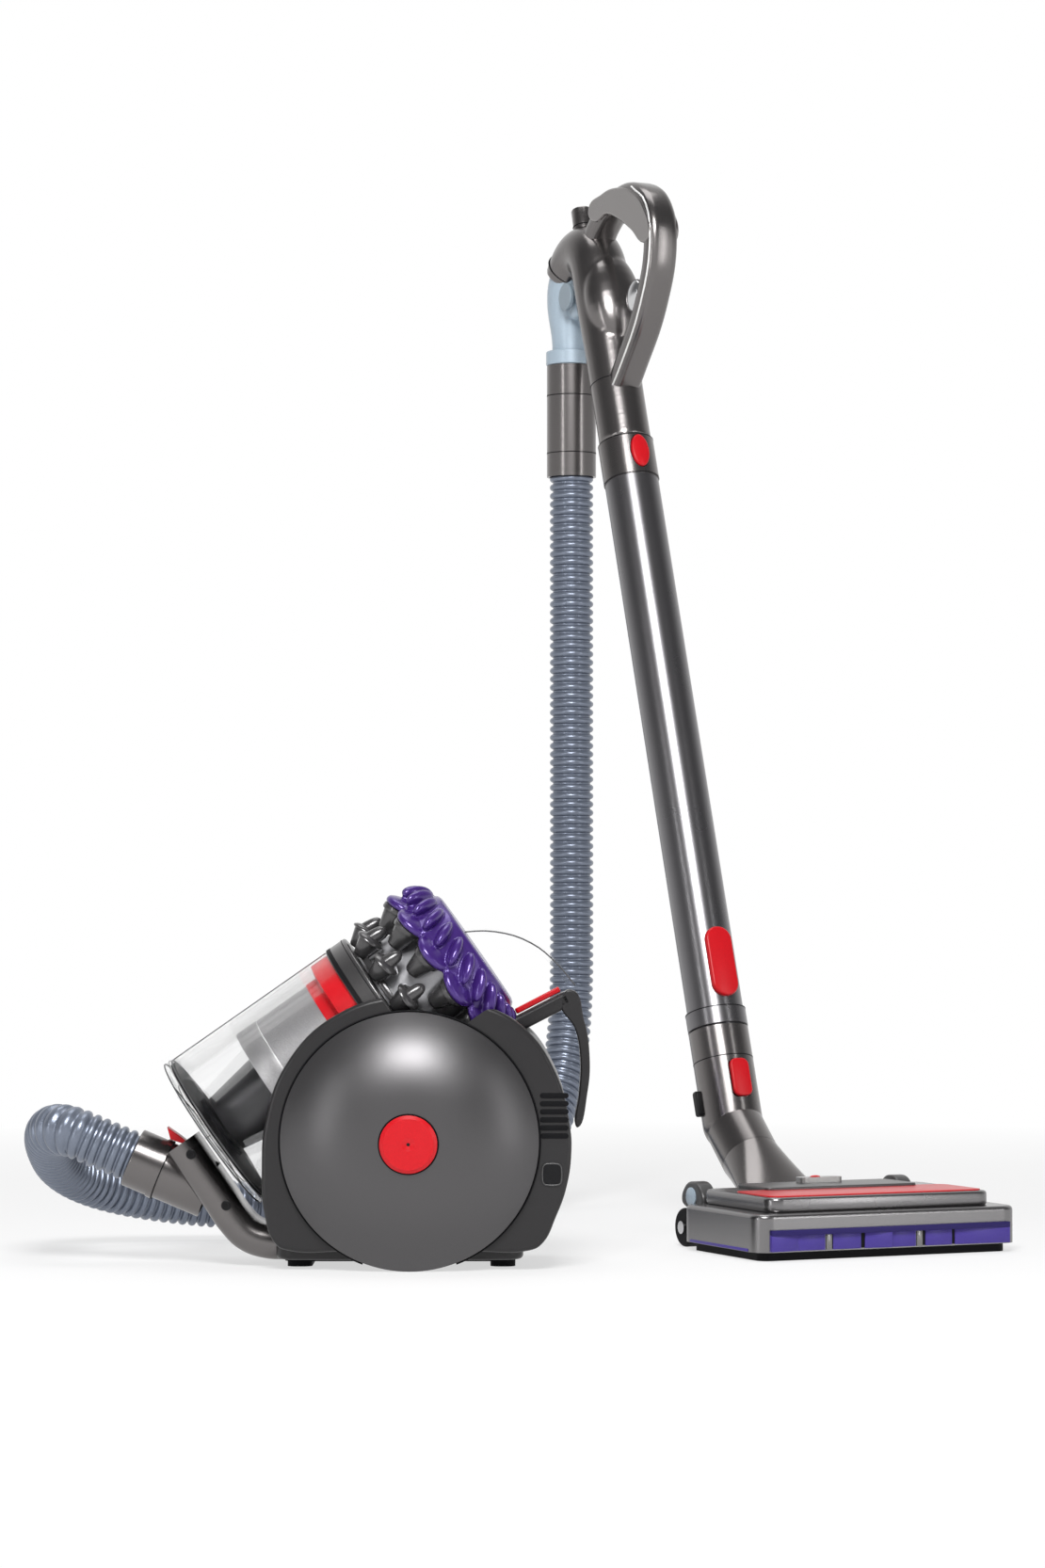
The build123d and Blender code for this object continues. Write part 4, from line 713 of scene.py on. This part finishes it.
# %% [markdown]
# ## The purple cap
#
# The cap is one moulding: a flat crown on a steep cone whose rim breaks into twelve lids over the upper
# cups, and on each lid two blunt fingers that reach up the cone. Modelled as separate turned lids and
# stretched balls, the pieces only overlap; a voxel remesh fuses them and a little smoothing melts the
# creases, which is how a moulded shape like this gets its soft look.

# %% Cap
crown = ringed("crown", mm_rings([(52, 250), (72, 248.4), (75.5, 250), (72, 257), (65, 268), (60, 276),
                                  (57.6, 278.8), (54, 280), (2, 280), (0.2, 280)]), sides=96)
lid_rings = [(15.6, -4.6), (18.6, -4.4), (19.8, -3), (19.9, -0.6), (18.6, 1.6), (14, 3.6), (8, 5),
             (0.2, 5.6)]
lid = ringed("lid", mm_rings(lid_rings), sides=36)
lids = set_round(lid, [bin_place(250.5, 67.5, turn, upper_lean) for turn in upper_turns], "lids")
fingers = []
slope = Matrix.Rotation(math.radians(52), 4, "Y")
swirl = Matrix.Rotation(math.radians(32), 4, "Z")
for turn in upper_turns:
    for shift in (-7.5, 7.5):
        spot = bin_place(264.5, 70.5, turn + shift, 0)
        fingers.append(pebble("finger", (16, 5.0, 7.6), spot @ slope @ swirl, segments=20))
crown_set = copy_to(crown, bin_place(0))
bpy.data.objects.remove(crown)
cap = joined([crown_set, lids, *fingers], "lobed_cap")
melted(cap, voxel=1.1, rounds=2, strength=0.35)
settle(cap, "bin", cap_purple, angle=70)
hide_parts("cyclone_cap")
print("cap faces", len(cap.data.polygons))

# %% [markdown]
# ## The clear bin
#
# Clear plastic is nearly invisible against a white room; what the eye reads is its edges. Moulding seams
# along the tube, the rims of the tube and the flap, the ribs of the flap and the edges of the clear arch
# are added as thin grey lines. Their grey is painted shade, for the dark edges that clear plastic shows.
# A texture could draw them too, but a thin bar has a gloss of its own and shows from every side. The
# shroud inside gets a steel skin.


# %% Lines, bars and plates
def hoop(name, points, radius, body, material, closed=True):
    """A thin round line through points given in metres, closed or open, made a mesh."""
    data = bent_curve(name, points, "3D", closed=closed)
    data.bevel_depth = radius * MM
    data.bevel_resolution = 2
    data.use_fill_caps = True
    data.resolution_u = 4
    return settle(meshed(name, data), body, material, angle=60)


def flat_bar(name, points, place, width, depth, corner):
    """A bar with a rounded oblong section along a smooth line through points of a plane, in millimetres."""
    section = bpy.data.curves.new(name + "_section", "CURVE")
    section.dimensions = "2D"
    outline = section.splines.new("POLY")
    rim = oblong(depth / 2 - corner, width / 2 - corner, corner=corner, steps=6)
    outline.points.add(len(rim) - 1)
    for point, (x, y) in zip(outline.points, rim):
        point.co = (x * MM, y * MM, 0, 1)
    outline.use_cyclic_u = True
    template = bpy.data.objects.new(name + "_section", section)
    scene.collection.objects.link(template)
    data = bent_curve(name, flat_points(points), "2D")
    data.bevel_mode = "OBJECT"
    data.bevel_object = template
    data.use_fill_caps = True
    data.resolution_u = 14
    piece = meshed(name, data)
    bpy.data.objects.remove(template)
    piece.matrix_world = place
    return piece


def slab(name, outline, half, edge, place, corners="AUTO"):
    """A plate with a smooth or cornered outline in a plane, as thick as twice half, with rounded edges."""
    data = bent_curve(name, flat_points(outline), "2D", corners, closed=True)
    data.fill_mode = "BOTH"
    data.extrude = (half - edge) * MM
    data.bevel_depth = edge * MM
    data.bevel_resolution = 3
    data.offset = -edge * MM
    data.resolution_u = 8
    piece = meshed(name, data)
    piece.matrix_world = place
    return piece


side_plane = place_at(head_middle, backward, across)
canister_plane = place_at(Vector((0, 0, 0)), (1, 0, 0), (0, -1, 0))


def circle_points(place, radius, count=72):
    """Points of a circle about the Z axis of a frame."""
    turns = [math.tau * i / count for i in range(count)]
    return [place @ (Vector((math.cos(a), math.sin(a), 0)) * radius * MM) for a in turns]


# %% Edges of the bin
# The grey of these lines on the clear plastic is painted shade, for the dark edges it shows.
hoop("tube_rim", circle_points(bin_place(0.8), 73.6), 0.7, "bin", line_grey)
hoop("flap_rim", circle_points(bin_place(-6.6), 74.4), 0.7, "flap", line_grey)
hoop("flap_lip", circle_points(bin_place(-1.4), 74.8), 0.45, "flap", pale_grey)
for side, turn in (("top", 0), ("far", 176), ("near", -4)):
    hoop("tube_line_" + side, [bin_place(2, 73.8, turn).translation, bin_place(167, 73.8, turn).translation],
         0.4, "bin", line_grey, closed=False)
for number, reach in enumerate((30, 52)):
    hoop(f"flap_rib_{number}", circle_points(bin_place(-7.2), reach, 48), 0.5, "flap", line_grey)
for turn in (40, 90, 140, 220, 270, 320):
    spoke = [bin_place(-7.4, reach, turn).translation for reach in (12, 70)]
    hoop(f"flap_spoke_{turn}", spoke, 0.5, "flap", line_grey, closed=False)
arch_line = [(40, 294), (74, 294.5), (106, 284.4), (129, 266), (145, 247)]
for side, offset in (("near", -19), ("far", 19)):
    spots = [Vector((x, offset, z)) * MM for x, z in arch_line]
    hoop("arch_line_" + side, spots, 0.5, "bin", line_grey, closed=False)
shroud_rings = [(57, 61), (59.6, 61), (60.1, 61.6), (60.1, 80.6), (59.9, 81.8), (59.5, 82), (59.5, 137),
                (57, 137), (57, 61)]
shroud_skin = ringed("shroud_skin", mm_rings(shroud_rings), sides=120, closed=True)
settle(shroud_skin, "bin", shroud_steel, bin_place(0))
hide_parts("shroud")
hoop("shroud_line", circle_points(bin_place(82), 59.9, 96), 0.45, "bin", line_white)
hoop("collar_line", circle_points(bin_place(185), 75.0, 96), 0.4, "bin", rubber_black)
band_rings = [(74.6, 169), (75.3, 169), (75.3, 173), (74.6, 173), (74.6, 169)]
collar_band = ringed("collar_band", mm_rings(band_rings), sides=96, closed=True)
settle(collar_band, "bin", rubber_black, bin_place(0))
print("shroud faces", len(shroud_skin.data.polygons))

# %% [markdown]
# ## The swan neck and the swivel
#
# Above the wand the pipe swells, hooks over backward and ends in a rim that holds the pale blue swivel of
# the hose. A bar of one thickness would make a thin crown, so the hook is swept along a bent line with a
# swell of its own at each point, gets a lump on the front, and both are melted together. The swivel is a
# bent tube that drops from that rim to the hose collar, with a round pin head on its side.

# %% Swan neck
hook_line = [(461.5, 791.5), (485.6, 862.5), (501.7, 910), (514, 948), (524, 990), (548, 1006), (575, 999),
             (590, 980)]
hook_swell = [1.0, 1.0, 1.02, 1.08, 1.1, 1.06, 1.04, 1.03]
hook = swept("hook", [side_point(b, z) for b, z in hook_line], radius=27, swell=hook_swell)
boss = pebble("boss", (31, 24, 54), place_at(side_point(497, 946, 3), across, wand_axis), segments=32)
hook = joined([hook, boss], "swan_neck")
melted(hook, voxel=1.5, rounds=16)
settle(hook, "handle", nickel_paint, angle=70)
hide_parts("handle_pipe")
rim_place = place_at(side_point(583.5, 988.5), across, backward * 0.72 - upward * 0.69)
hoop("hook_rim", circle_points(rim_place, 28.0, 64), 0.7, "handle", rubber_black)
print("swan neck faces", len(hook.data.polygons))

# %% Swivel
throat_line = [(590, 900), (590, 912), (591, 930), (594, 955), (586, 985), (566, 992)]
throat_swell = [1.0, 0.98, 1.08, 1.26, 1.26, 1.05]
throat = swept("throat", [side_point(b, z) for b, z in throat_line], radius=20.5, swell=throat_swell)
cheek_rings = [(17, -14.5), (19.5, -14), (21, -12), (21, 12), (19.5, 14), (17, 14.5)]
cheek = ringed("cheek", mm_rings(cheek_rings), sides=48)
apply_place(cheek, place_at(side_point(556, 953), backward, across))
swivel = joined([throat, cheek], "swivel_throat")
melted(swivel, voxel=1.3, rounds=14)
settle(swivel, "swivel", swivel_blue, angle=70)
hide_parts("swivel_elbow")
pin_rings = [(13.6, -3), (14.4, -2.4), (14.6, 0.6), (13.8, 1.5), (0.2, 1.6)]
pin_head = ringed("pin_head", mm_rings(pin_rings), sides=40)
settle(pin_head, "handle", pin_blue, place_at(side_point(556, 955, -23), backward, across * -1))
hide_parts("elbow_pin")
print("swivel faces", len(swivel.data.polygons))

# %% [markdown]
# ## The loop grip
#
# The grip is a flat bar with soft edges that turns over at the top into a broad crown. A round bar would
# look like wire, so a section with round corners runs along the line, and the crown is a plate with a drawn
# outline. A pale line along the edge is a painted highlight, and a silver finger pad on a short stem sits
# inside the loop.

# %% Grip
loop_points = [(474, 846), (452, 869), (402, 931), (382, 988), (390, 1022), (420, 1043), (470, 1042),
               (512, 1024), (532, 1000)]
loop = flat_bar("grip_bar", loop_points, side_plane, width=33, depth=23, corner=9)
settle(loop, "handle", nickel_paint, angle=50)
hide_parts("handle_grip")
crown_outline = [(516, 1040), (484, 1053), (450, 1054), (412, 1044), (386, 1024), (374, 996), (386, 988),
                 (418, 1006), (447, 1021), (476, 1030), (502, 1026)]
crown_web = slab("crown_web", crown_outline, half=17.2, edge=2.5, place=side_plane)
# The crown wears the lighter nickel as painted light on its flat face.
settle(crown_web, "handle", lit_crown_nickel, angle=50)
edge_points = [(466, 846), (447, 864), (396, 927.5), (375, 986.5), (384, 1027), (417, 1050)]
# The pale line along the grip's edge is a painted highlight.
hoop("grip_highlight_line", [side_point(b, z, -15.6) for b, z in edge_points], 1.0, "handle", line_white, closed=False)
stub = ringed("grip_stub", mm_rings([(11, 22), (11, 44), (10.2, 45.4), (8.5, 46), (0.2, 46)]), sides=40)
stub_place = place_at(side_point(553, 1006), across, backward * 0.28 + upward * 0.96)
settle(stub, "handle", nickel_paint, stub_place)
hoop("stub_line", circle_points(stub_place @ Matrix.Translation((0, 0, 26 * MM)), 11.1, 40), 0.5, "handle",
     rubber_black)
pad_place = place_at(side_point(436.5, 941), across, upward * 0.934 - backward * 0.358)
trigger_pad = pebble("trigger_pad", (9, 14, 18), pad_place, segments=32)
trigger_stem = rounded_plate("trigger_stem", width=8, length=8, thickness=30, corner=1.5, edge=0.5,
                             segments=3)
apply_place(trigger_stem, place_at(side_point(418, 933), across, backward * 0.92 + upward * 0.39))
trigger_pad = joined([trigger_pad, trigger_stem], "trigger_pad")
settle(trigger_pad, "bleed_key", bright_steel, angle=70)
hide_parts("suction_trigger")
print("grip", [round(d, 4) for d in loop.dimensions])

# %% [markdown]
# ## Small fittings
#
# Thin parting lines, screws and the rounded tops of the buttons are what the eye uses to judge size. They
# are small plates and rings, each set into the frame of the piece that carries it.


# %% Parting lines round the wand and the cuffs
def seam(name, radius, place, body, width=0.9):
    """A thin dark line round a tube where two mouldings meet."""
    half = width / 2
    ring = ringed(name, mm_rings([(radius - 0.5, -half), (radius + 0.12, -half), (radius + 0.12, half),
                                  (radius - 0.5, half), (radius - 0.5, -half)]), sides=72, closed=True)
    return settle(ring, body, rubber_black, place)


# Name, radius, distance from the knee along the wand, and body.
wand_seams = [
    ("seam_neck_high", 27.2, 846, "handle"),
    ("seam_neck_low", 27.0, 792, "handle"),
    ("seam_collar_top", 28.65, 724.4, "handle"),
    ("seam_collar_foot", 28.65, 681.8, "handle"),
    ("seam_tube_foot", 29.75, 112, "handle"),
    ("seam_neck_socket", 29.5, 62, "lower_wand"),
]
for name, radius, distance, body in wand_seams:
    seam(name, radius, wand_place(distance), body)
cuff_levels = (794, 855)
for level in cuff_levels:
    cuff_spot = Vector((rise_x, rise_y, level)) * MM
    seam(f"seam_cuff_{level}", 26.05, place_at(cuff_spot, (1, 0, 0), (0, 0, 1)), "canister")
inlet_slope = math.radians(23)
inlet_axis = Vector((math.cos(inlet_slope), 0, -math.sin(inlet_slope)))
inlet_mouth = Vector((-249, 0, 94)) * MM
seam("seam_inlet", 27.5, place_at(inlet_mouth + inlet_axis * 29.4 * MM, (0, 1, 0), inlet_axis), "canister")
print("parting lines", len(wand_seams) + len(cuff_levels) + 1)

# %% Long red catch and the red buttons
catch = rounded_plate("catch_plate", width=28, length=71, thickness=7, corner=13.6, edge=2.2, segments=10)
settle(catch, "tube_key", red_plastic, wand_front_place(156.5, 28.4))
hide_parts("telescope_catch")
oval_length = 17.6
oval_width = 9.7
oval_rings = [(oval_length, -1.5), (oval_length, 1.0), (17.0, 1.8), (15.6, 2.3), (0.2, 2.4)]
oval = ringed("oval_button", mm_rings(oval_rings))
squeeze = Matrix.Diagonal((oval_width / oval_length, 1, 1, 1))
settle(oval, "wand_key", red_plastic, wand_front_place(705, 28.7) @ squeeze)
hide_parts("wand_button")
tool_button = rounded_plate("tool_button", width=20, length=38, thickness=5, corner=7, edge=1.6, segments=8)
settle(tool_button, "neck_key", red_plastic, wand_front_place(38, 30.5))
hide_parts("neck_button")
clip = rounded_plate("neck_clip", width=9, length=25, thickness=6, corner=3, edge=1.2, segments=5)
clip_spot = knee + (wand_axis * 22 - wand_front * 7 - across * 30.5) * MM
settle(clip, "lower_wand", satin_black, place_at(clip_spot, wand_front, across * -1))
print("catch", [round(d, 4) for d in catch.dimensions])

# %% [markdown]
# ## Wheels and hubs
#
# The wheels are plain domes, so thin rings tell where one part ends and the next begins: a ring round each
# hub button, a dimple in the button and a gap between wheel and casing. The black of the dimple and of the
# ring in the gap is painted shade, for the shade inside the hollow and the gap. A painted ring would have no
# edge to catch the light, so each is a thin bar. The ring in the gap is left open near the floor, because
# there it would reach below the wheel.

# %% Wheels and hubs
axle_spot = Vector((0, 0, 112.6)) * MM
hub_face, rim_face, button_face = 121.1, 81.6, 124.2


def wheel_place(sign, distance):
    """Frame on the axle at a distance from the middle, facing outward."""
    return place_at(axle_spot + Vector((0, sign * distance, 0)) * MM, (1, 0, 0), (0, sign, 0))


for side, sign in (("near", -1), ("far", 1)):
    hub_circle = circle_points(wheel_place(sign, hub_face), 25.7, 72)
    hoop("hub_ring_" + side, hub_circle, 0.7, side + "_wheel", rubber_black)
    # The ring in the gap is black as painted shade, for the shade between wheel and casing.
    groove = circle_points(wheel_place(sign, rim_face), 113.6, 120)
    lowest = min(range(len(groove)), key=lambda number: groove[number].z)
    groove = [spot for spot in groove[lowest:] + groove[:lowest] if spot.z > 6 * MM]
    hoop("wheel_gap_shade_" + side, groove, 0.9, "canister", rubber_black, closed=False)
    # The dark disc in the dimple is painted shade, for the shade in the hollow.
    dimple = ringed("hub_dimple_shade_" + side, mm_rings([(2.6, 0), (2.5, 0.5), (1.4, 0.7), (0.2, 0.7)]), sides=24)
    key = "power_key" if side == "near" else "rewind_key"
    settle(dimple, key, satin_black, wheel_place(sign, button_face))
    print("groove points", side, len(groove))

# %% [markdown]
# ## The cradle arm and its catch
#
# A broad arm in front of the bin carries the hose inlet, with two screws in its near side, and a pointed red
# catch holds the hose. The arm could be a block with beveled edges, but it bends like a strap, so it is a
# bar with a rounded section along a drawn line. The catch has sharp corners, so its outline has straight
# sides.

# %% Cradle arm and catch
screw_rings = [(4.4, 0), (4.4, 0.9), (3.6, 1.3), (2.4, 1.3), (2.2, 0.5), (0.2, 0.5)]
for number, (x, z) in enumerate([(-193.5, 99), (-162.5, 54)]):
    screw = ringed(f"arm_screw_{number}", mm_rings(screw_rings), sides=28)
    settle(screw, "canister", satin_black, place_at(Vector((x, -41, z)) * MM, (1, 0, 0), (0, -1, 0)))
arm_points = [(-204, 107), (-188, 84), (-171, 60), (-156, 38.5), (-144, 27), (-127, 21), (-108, 20)]
arm_skin = flat_bar("arm_skin", arm_points, canister_plane, width=82, depth=29, corner=13)
settle(arm_skin, "canister", nickel_paint, angle=50)
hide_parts("cradle_arm")
spike_outline = [(-214.5, 110), (-201, 105.6), (-201, 109), (-206, 113), (-217.5, 121)]
spike = slab("catch_spike", spike_outline, half=9, edge=0.8, place=canister_plane, corners="VECTOR")
settle(spike, "catch", red_plastic)
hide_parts("hose_catch")
print("arm", [round(d, 4) for d in arm_skin.dimensions])

# %% [markdown]
# ## The casing between the wheels
#
# Seen from the side the casing is a little larger than the wheels and wide at its foot, with a round rear.
# A ball wouldn't give that foot, so it is a thick plate with a drawn outline. Two cylinders along the bin's
# axis cut the room that the bin lies in, a narrow one for the tube and a wide one for the cups, so the
# casing's cheeks stay beside the tube.

# %% Casing
rear_x = 141
casing_outline = [(0, 16.5), (-60, 16.5), (-106, 17.5), (-116, 22), (-127, 52), (-129, 88),
                  (-126, 130), (-109, 178), (-64, 223), (0, 240), (58, 233), (98, 213), (127, 173),
                  (rear_x - 1, 124), (rear_x, 104), (137, 74), (128, 48), (114, 22), (104, 17.5), (60, 16.5)]
casing = slab("casing_body", casing_outline, half=79.5, edge=4, place=canister_plane)
apply_place(casing)
for radius, start, end in ((77, -40, 192), (93, 188, 330)):
    start_fresh()
    middle = bin_place((start + end) / 2)
    bpy.ops.mesh.primitive_cylinder_add(vertices=96, radius=radius * MM, depth=(end - start) * MM)
    room = bpy.context.object
    room.matrix_world = middle
    bpy.context.view_layer.update()
    add_modifier(casing, "BOOLEAN", object=room, operation="DIFFERENCE", solver="EXACT")
    bpy.data.objects.remove(room)
settle(casing, "canister", casing_smoke, angle=35)
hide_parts("casing_near", "casing_far")
print("casing", [round(d, 4) for d in casing.dimensions], len(casing.data.polygons))

# %% [markdown]
# ## Slots and outlet
#
# The near face of the casing has a row of six slots for the exhaust air, and below them the mouth for
# the mains lead in a raised rim. They could be cut into the casing. Dark plates that lie a little proud of
# it read the same at this size, and leave its smooth face whole. The black of the slot plates is painted
# shade: it stands for the shade deep inside the slots.

# %% Slots and outlet
near_face = -79.6


def near_place(x, z):
    """Frame on the near face of the casing, facing outward."""
    return place_at(Vector((x, near_face, z)) * MM, (1, 0, 0), (0, -1, 0))


slot_count = 6
slot_pitch = 7
# The slot plates are black as painted shade, for the depth of the slots.
slot = rounded_plate("slot", width=25, length=4.6, thickness=1.4, corner=2.2, edge=0.3, segments=5)
slot_places = [near_place(126, 117.5 + slot_pitch * number) for number in range(slot_count)]
slot_shade_set = set_round(slot, slot_places, "exhaust_slot_shade")
settle(slot_shade_set, "canister", rubber_black)
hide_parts("exhaust_grille")
outlet = rounded_plate("lead_mouth", width=16, length=18, thickness=1.6, corner=4, edge=0.4, segments=6)
outlet_place = near_place(124, 84)
settle(outlet, "canister", satin_black, outlet_place)
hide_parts("cord_outlet")
outlet_line = [outlet_place @ (Vector((x, y, 0.7)) * MM) for x, y in oblong(4, 5, corner=4.2, steps=5)]
hoop("outlet_rim", outlet_line, 0.7, "canister", plate_grey)
print("slots", slot_count)

# %% [markdown]
# ## The carry handle
#
# A short strut rises from the cap to the rear, and a thin bow hangs from its end and narrows towards the
# casing. The bow changes its width along the way, so it is a plate with a drawn outline; the strut keeps one
# section, so it is a bar along a line. The red release lies along the top of the strut.

# %% Carry handle
strut_line = Vector((57.9, 0, 29.8)).normalized()
strut_up = Vector((-strut_line.z, 0, strut_line.x))
bow_outline = [(132, 232), (141, 243), (153, 216), (158, 183), (156, 152), (147.5, 121), (145.2, 123),
               (148.5, 152), (149.5, 183), (145, 208)]
bow = slab("carry_bow", bow_outline, half=15, edge=1.5, place=canister_plane)
strut_points = [(84, 207.2), (110, 220.6), (138, 235)]
strut = flat_bar("carry_strut", strut_points, canister_plane, width=30, depth=14, corner=4)
bow = joined([apply_place(bow), apply_place(strut)], "carry_bow")
settle(bow, "bin", casing_smoke, angle=50)
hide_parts("carry_handle")
release = rounded_plate("release_strip", width=44, length=16, thickness=5, corner=3, edge=1.2, segments=5)
release_spot = Vector((138, 0, 235)) * MM - strut_line * 24 * MM + strut_up * 10.6 * MM
settle(release, "bin_key", red_plastic, place_at(release_spot, strut_line, strut_up))
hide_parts("bin_trigger")
print("carry handle", [round(d, 4) for d in bow.dimensions])

# %% [markdown]
# ## The front of the floor head
#
# The front of the head carries purple blocks under a thin shelf, with grey posts and dark slots between
# them. Plain boxes would all be equally deep, and some of these are deeper at one end. So a cube's corners
# are moved to their places and its edges are beveled.

# %% Front insert of the floor head
front_place = place_at(head_middle + (backward * -75 + upward * 18.5) * MM, across, backward * -1)


def insert_block(name, left, right, low, high, depth_left, depth_right):
    """A block on the head's front face whose depth may change from its left end to its right end."""
    start_fresh()
    bpy.ops.mesh.primitive_cube_add(size=1)
    block = bpy.context.object
    block.name = name
    for corner in block.data.vertices:
        depth = depth_left if corner.co.x < 0 else depth_right
        corner.co = Vector((left if corner.co.x < 0 else right, low if corner.co.y < 0 else high,
                            depth if corner.co.z > 0 else -0.5)) * MM
    add_modifier(block, "BEVEL", width=0.4 * MM, segments=2, limit_method="ANGLE",
                 angle_limit=math.radians(30))
    return block


def insert_set(name, plans, material):
    """Blocks of one colour on the head's front face, joined into one piece."""
    blocks = [insert_block(name + "_part", *plan) for plan in plans]
    return settle(joined(blocks, name), "head", material, front_place)


# Left end, right end, lower edge, upper edge, depth at the left end and depth at the right end.
insert_plan = [
    (-124, -95, -9.5, 6, 4.0, 1.0),
    (-96, -68, -9.5, 6, 1.0, 1.0),
    (-60, -31, -9.5, 6, 1.0, 1.0),
    (-27, 0, -9.5, 6, 1.0, 3.8),
    (0, 26, -9.5, 6, 1.0, 1.0),
    (36, 64, -9.5, 6, 1.0, 1.0),
    (67, 124, -9.5, 6, 1.0, 4.0),
]
# The shelf wears the darker purple as painted shade, for the shadow it lies in.
shelf = insert_block("insert_shelf", -124, 124, 4.6, 9.6, 4.2, 4.2)
settle(shelf, "head", shelf_shade_purple, front_place)
insert = insert_set("front_insert", insert_plan, head_purple)
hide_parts("front_bumper")
insert_set("insert_posts", [(-67, -61, -9.5, 5, 1.0, 1.0), (27, 33, -9.5, 5, 1.0, 1.0)], head_grey)
slot_plan = [(-61, -59, -9, 5, 0.5, 0.5), (-31, -27, -9, 5, 0.5, 0.5), (33, 36, -9, 5, 0.5, 0.5),
             (64, 67, -9, 5, 0.5, 0.5)]
insert_set("insert_slots", slot_plan, rubber_black)
print("head insert", len(insert.data.polygons))

# %% [markdown]
# ## Plates on the floor head
#
# The top of the head is a stack of thin plates: the deck, its red trim and the plate under the neck. A small
# arch with a pale disc stands over each rear wheel, and a thin purple line runs along each side. One bevel
# on all edges of a cube would give corners and edges the same radius. Here the upright edges are rounded
# widely first, and then all the edges a little.

# %% Trim of the floor head
fender_outline = [(74, 42), (82, 56), (96, 60.5), (110, 56), (117, 42), (112, 37), (80, 37)]
for side, sign in (("left", -1), ("right", 1)):
    strip = rounded_plate("side_line_" + side, width=112, length=2.6, thickness=1.2, corner=0.6, edge=0.3,
                          segments=3)
    settle(strip, "head", head_purple, place_at(side_point(0, 9.6, sign * 136), backward, across * sign))
    fender = slab("wheel_fender_" + side, fender_outline, half=8, edge=2.5,
                  place=side_plane @ Matrix.Translation((0, 0, sign * 106 * MM)))
    settle(fender, "head", plate_grey)
    cap_disc = ringed("fender_disc_" + side, mm_rings([(9, 0), (9, 1.2), (8, 1.8), (0.2, 1.9)]), sides=36)
    settle(cap_disc, "head", swivel_blue, place_at(side_point(96, 46, sign * 114), backward, across * sign))
deck_cover = rounded_plate("deck_cover", width=232, length=134, thickness=14, corner=14, edge=3, segments=6)
settle(deck_cover, "head", head_grey, place_at(side_point(6, 48.5), across, upward))
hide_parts("head_deck")
trim_plate = rounded_plate("trim_plate", width=222, length=74, thickness=1.6, corner=10, edge=0.5)
settle(trim_plate, "head", red_plastic, place_at(side_point(-18, 55.9), across, upward))
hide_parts("deck_trim")
neck_plate = rounded_plate("neck_plate", width=160, length=62, thickness=4, corner=7, edge=1, segments=5)
settle(neck_plate, "head", plate_grey, place_at(side_point(42, 57), across, upward))
dot_place = place_at(side_point(57.5, 64, -4), across, upward)
red_dot = pebble("slider_dot", (5.5, 3.2, 1.6), dot_place, segments=20)
settle(red_dot, "slider", red_plastic)
print("deck", [round(d, 4) for d in deck_cover.dimensions])
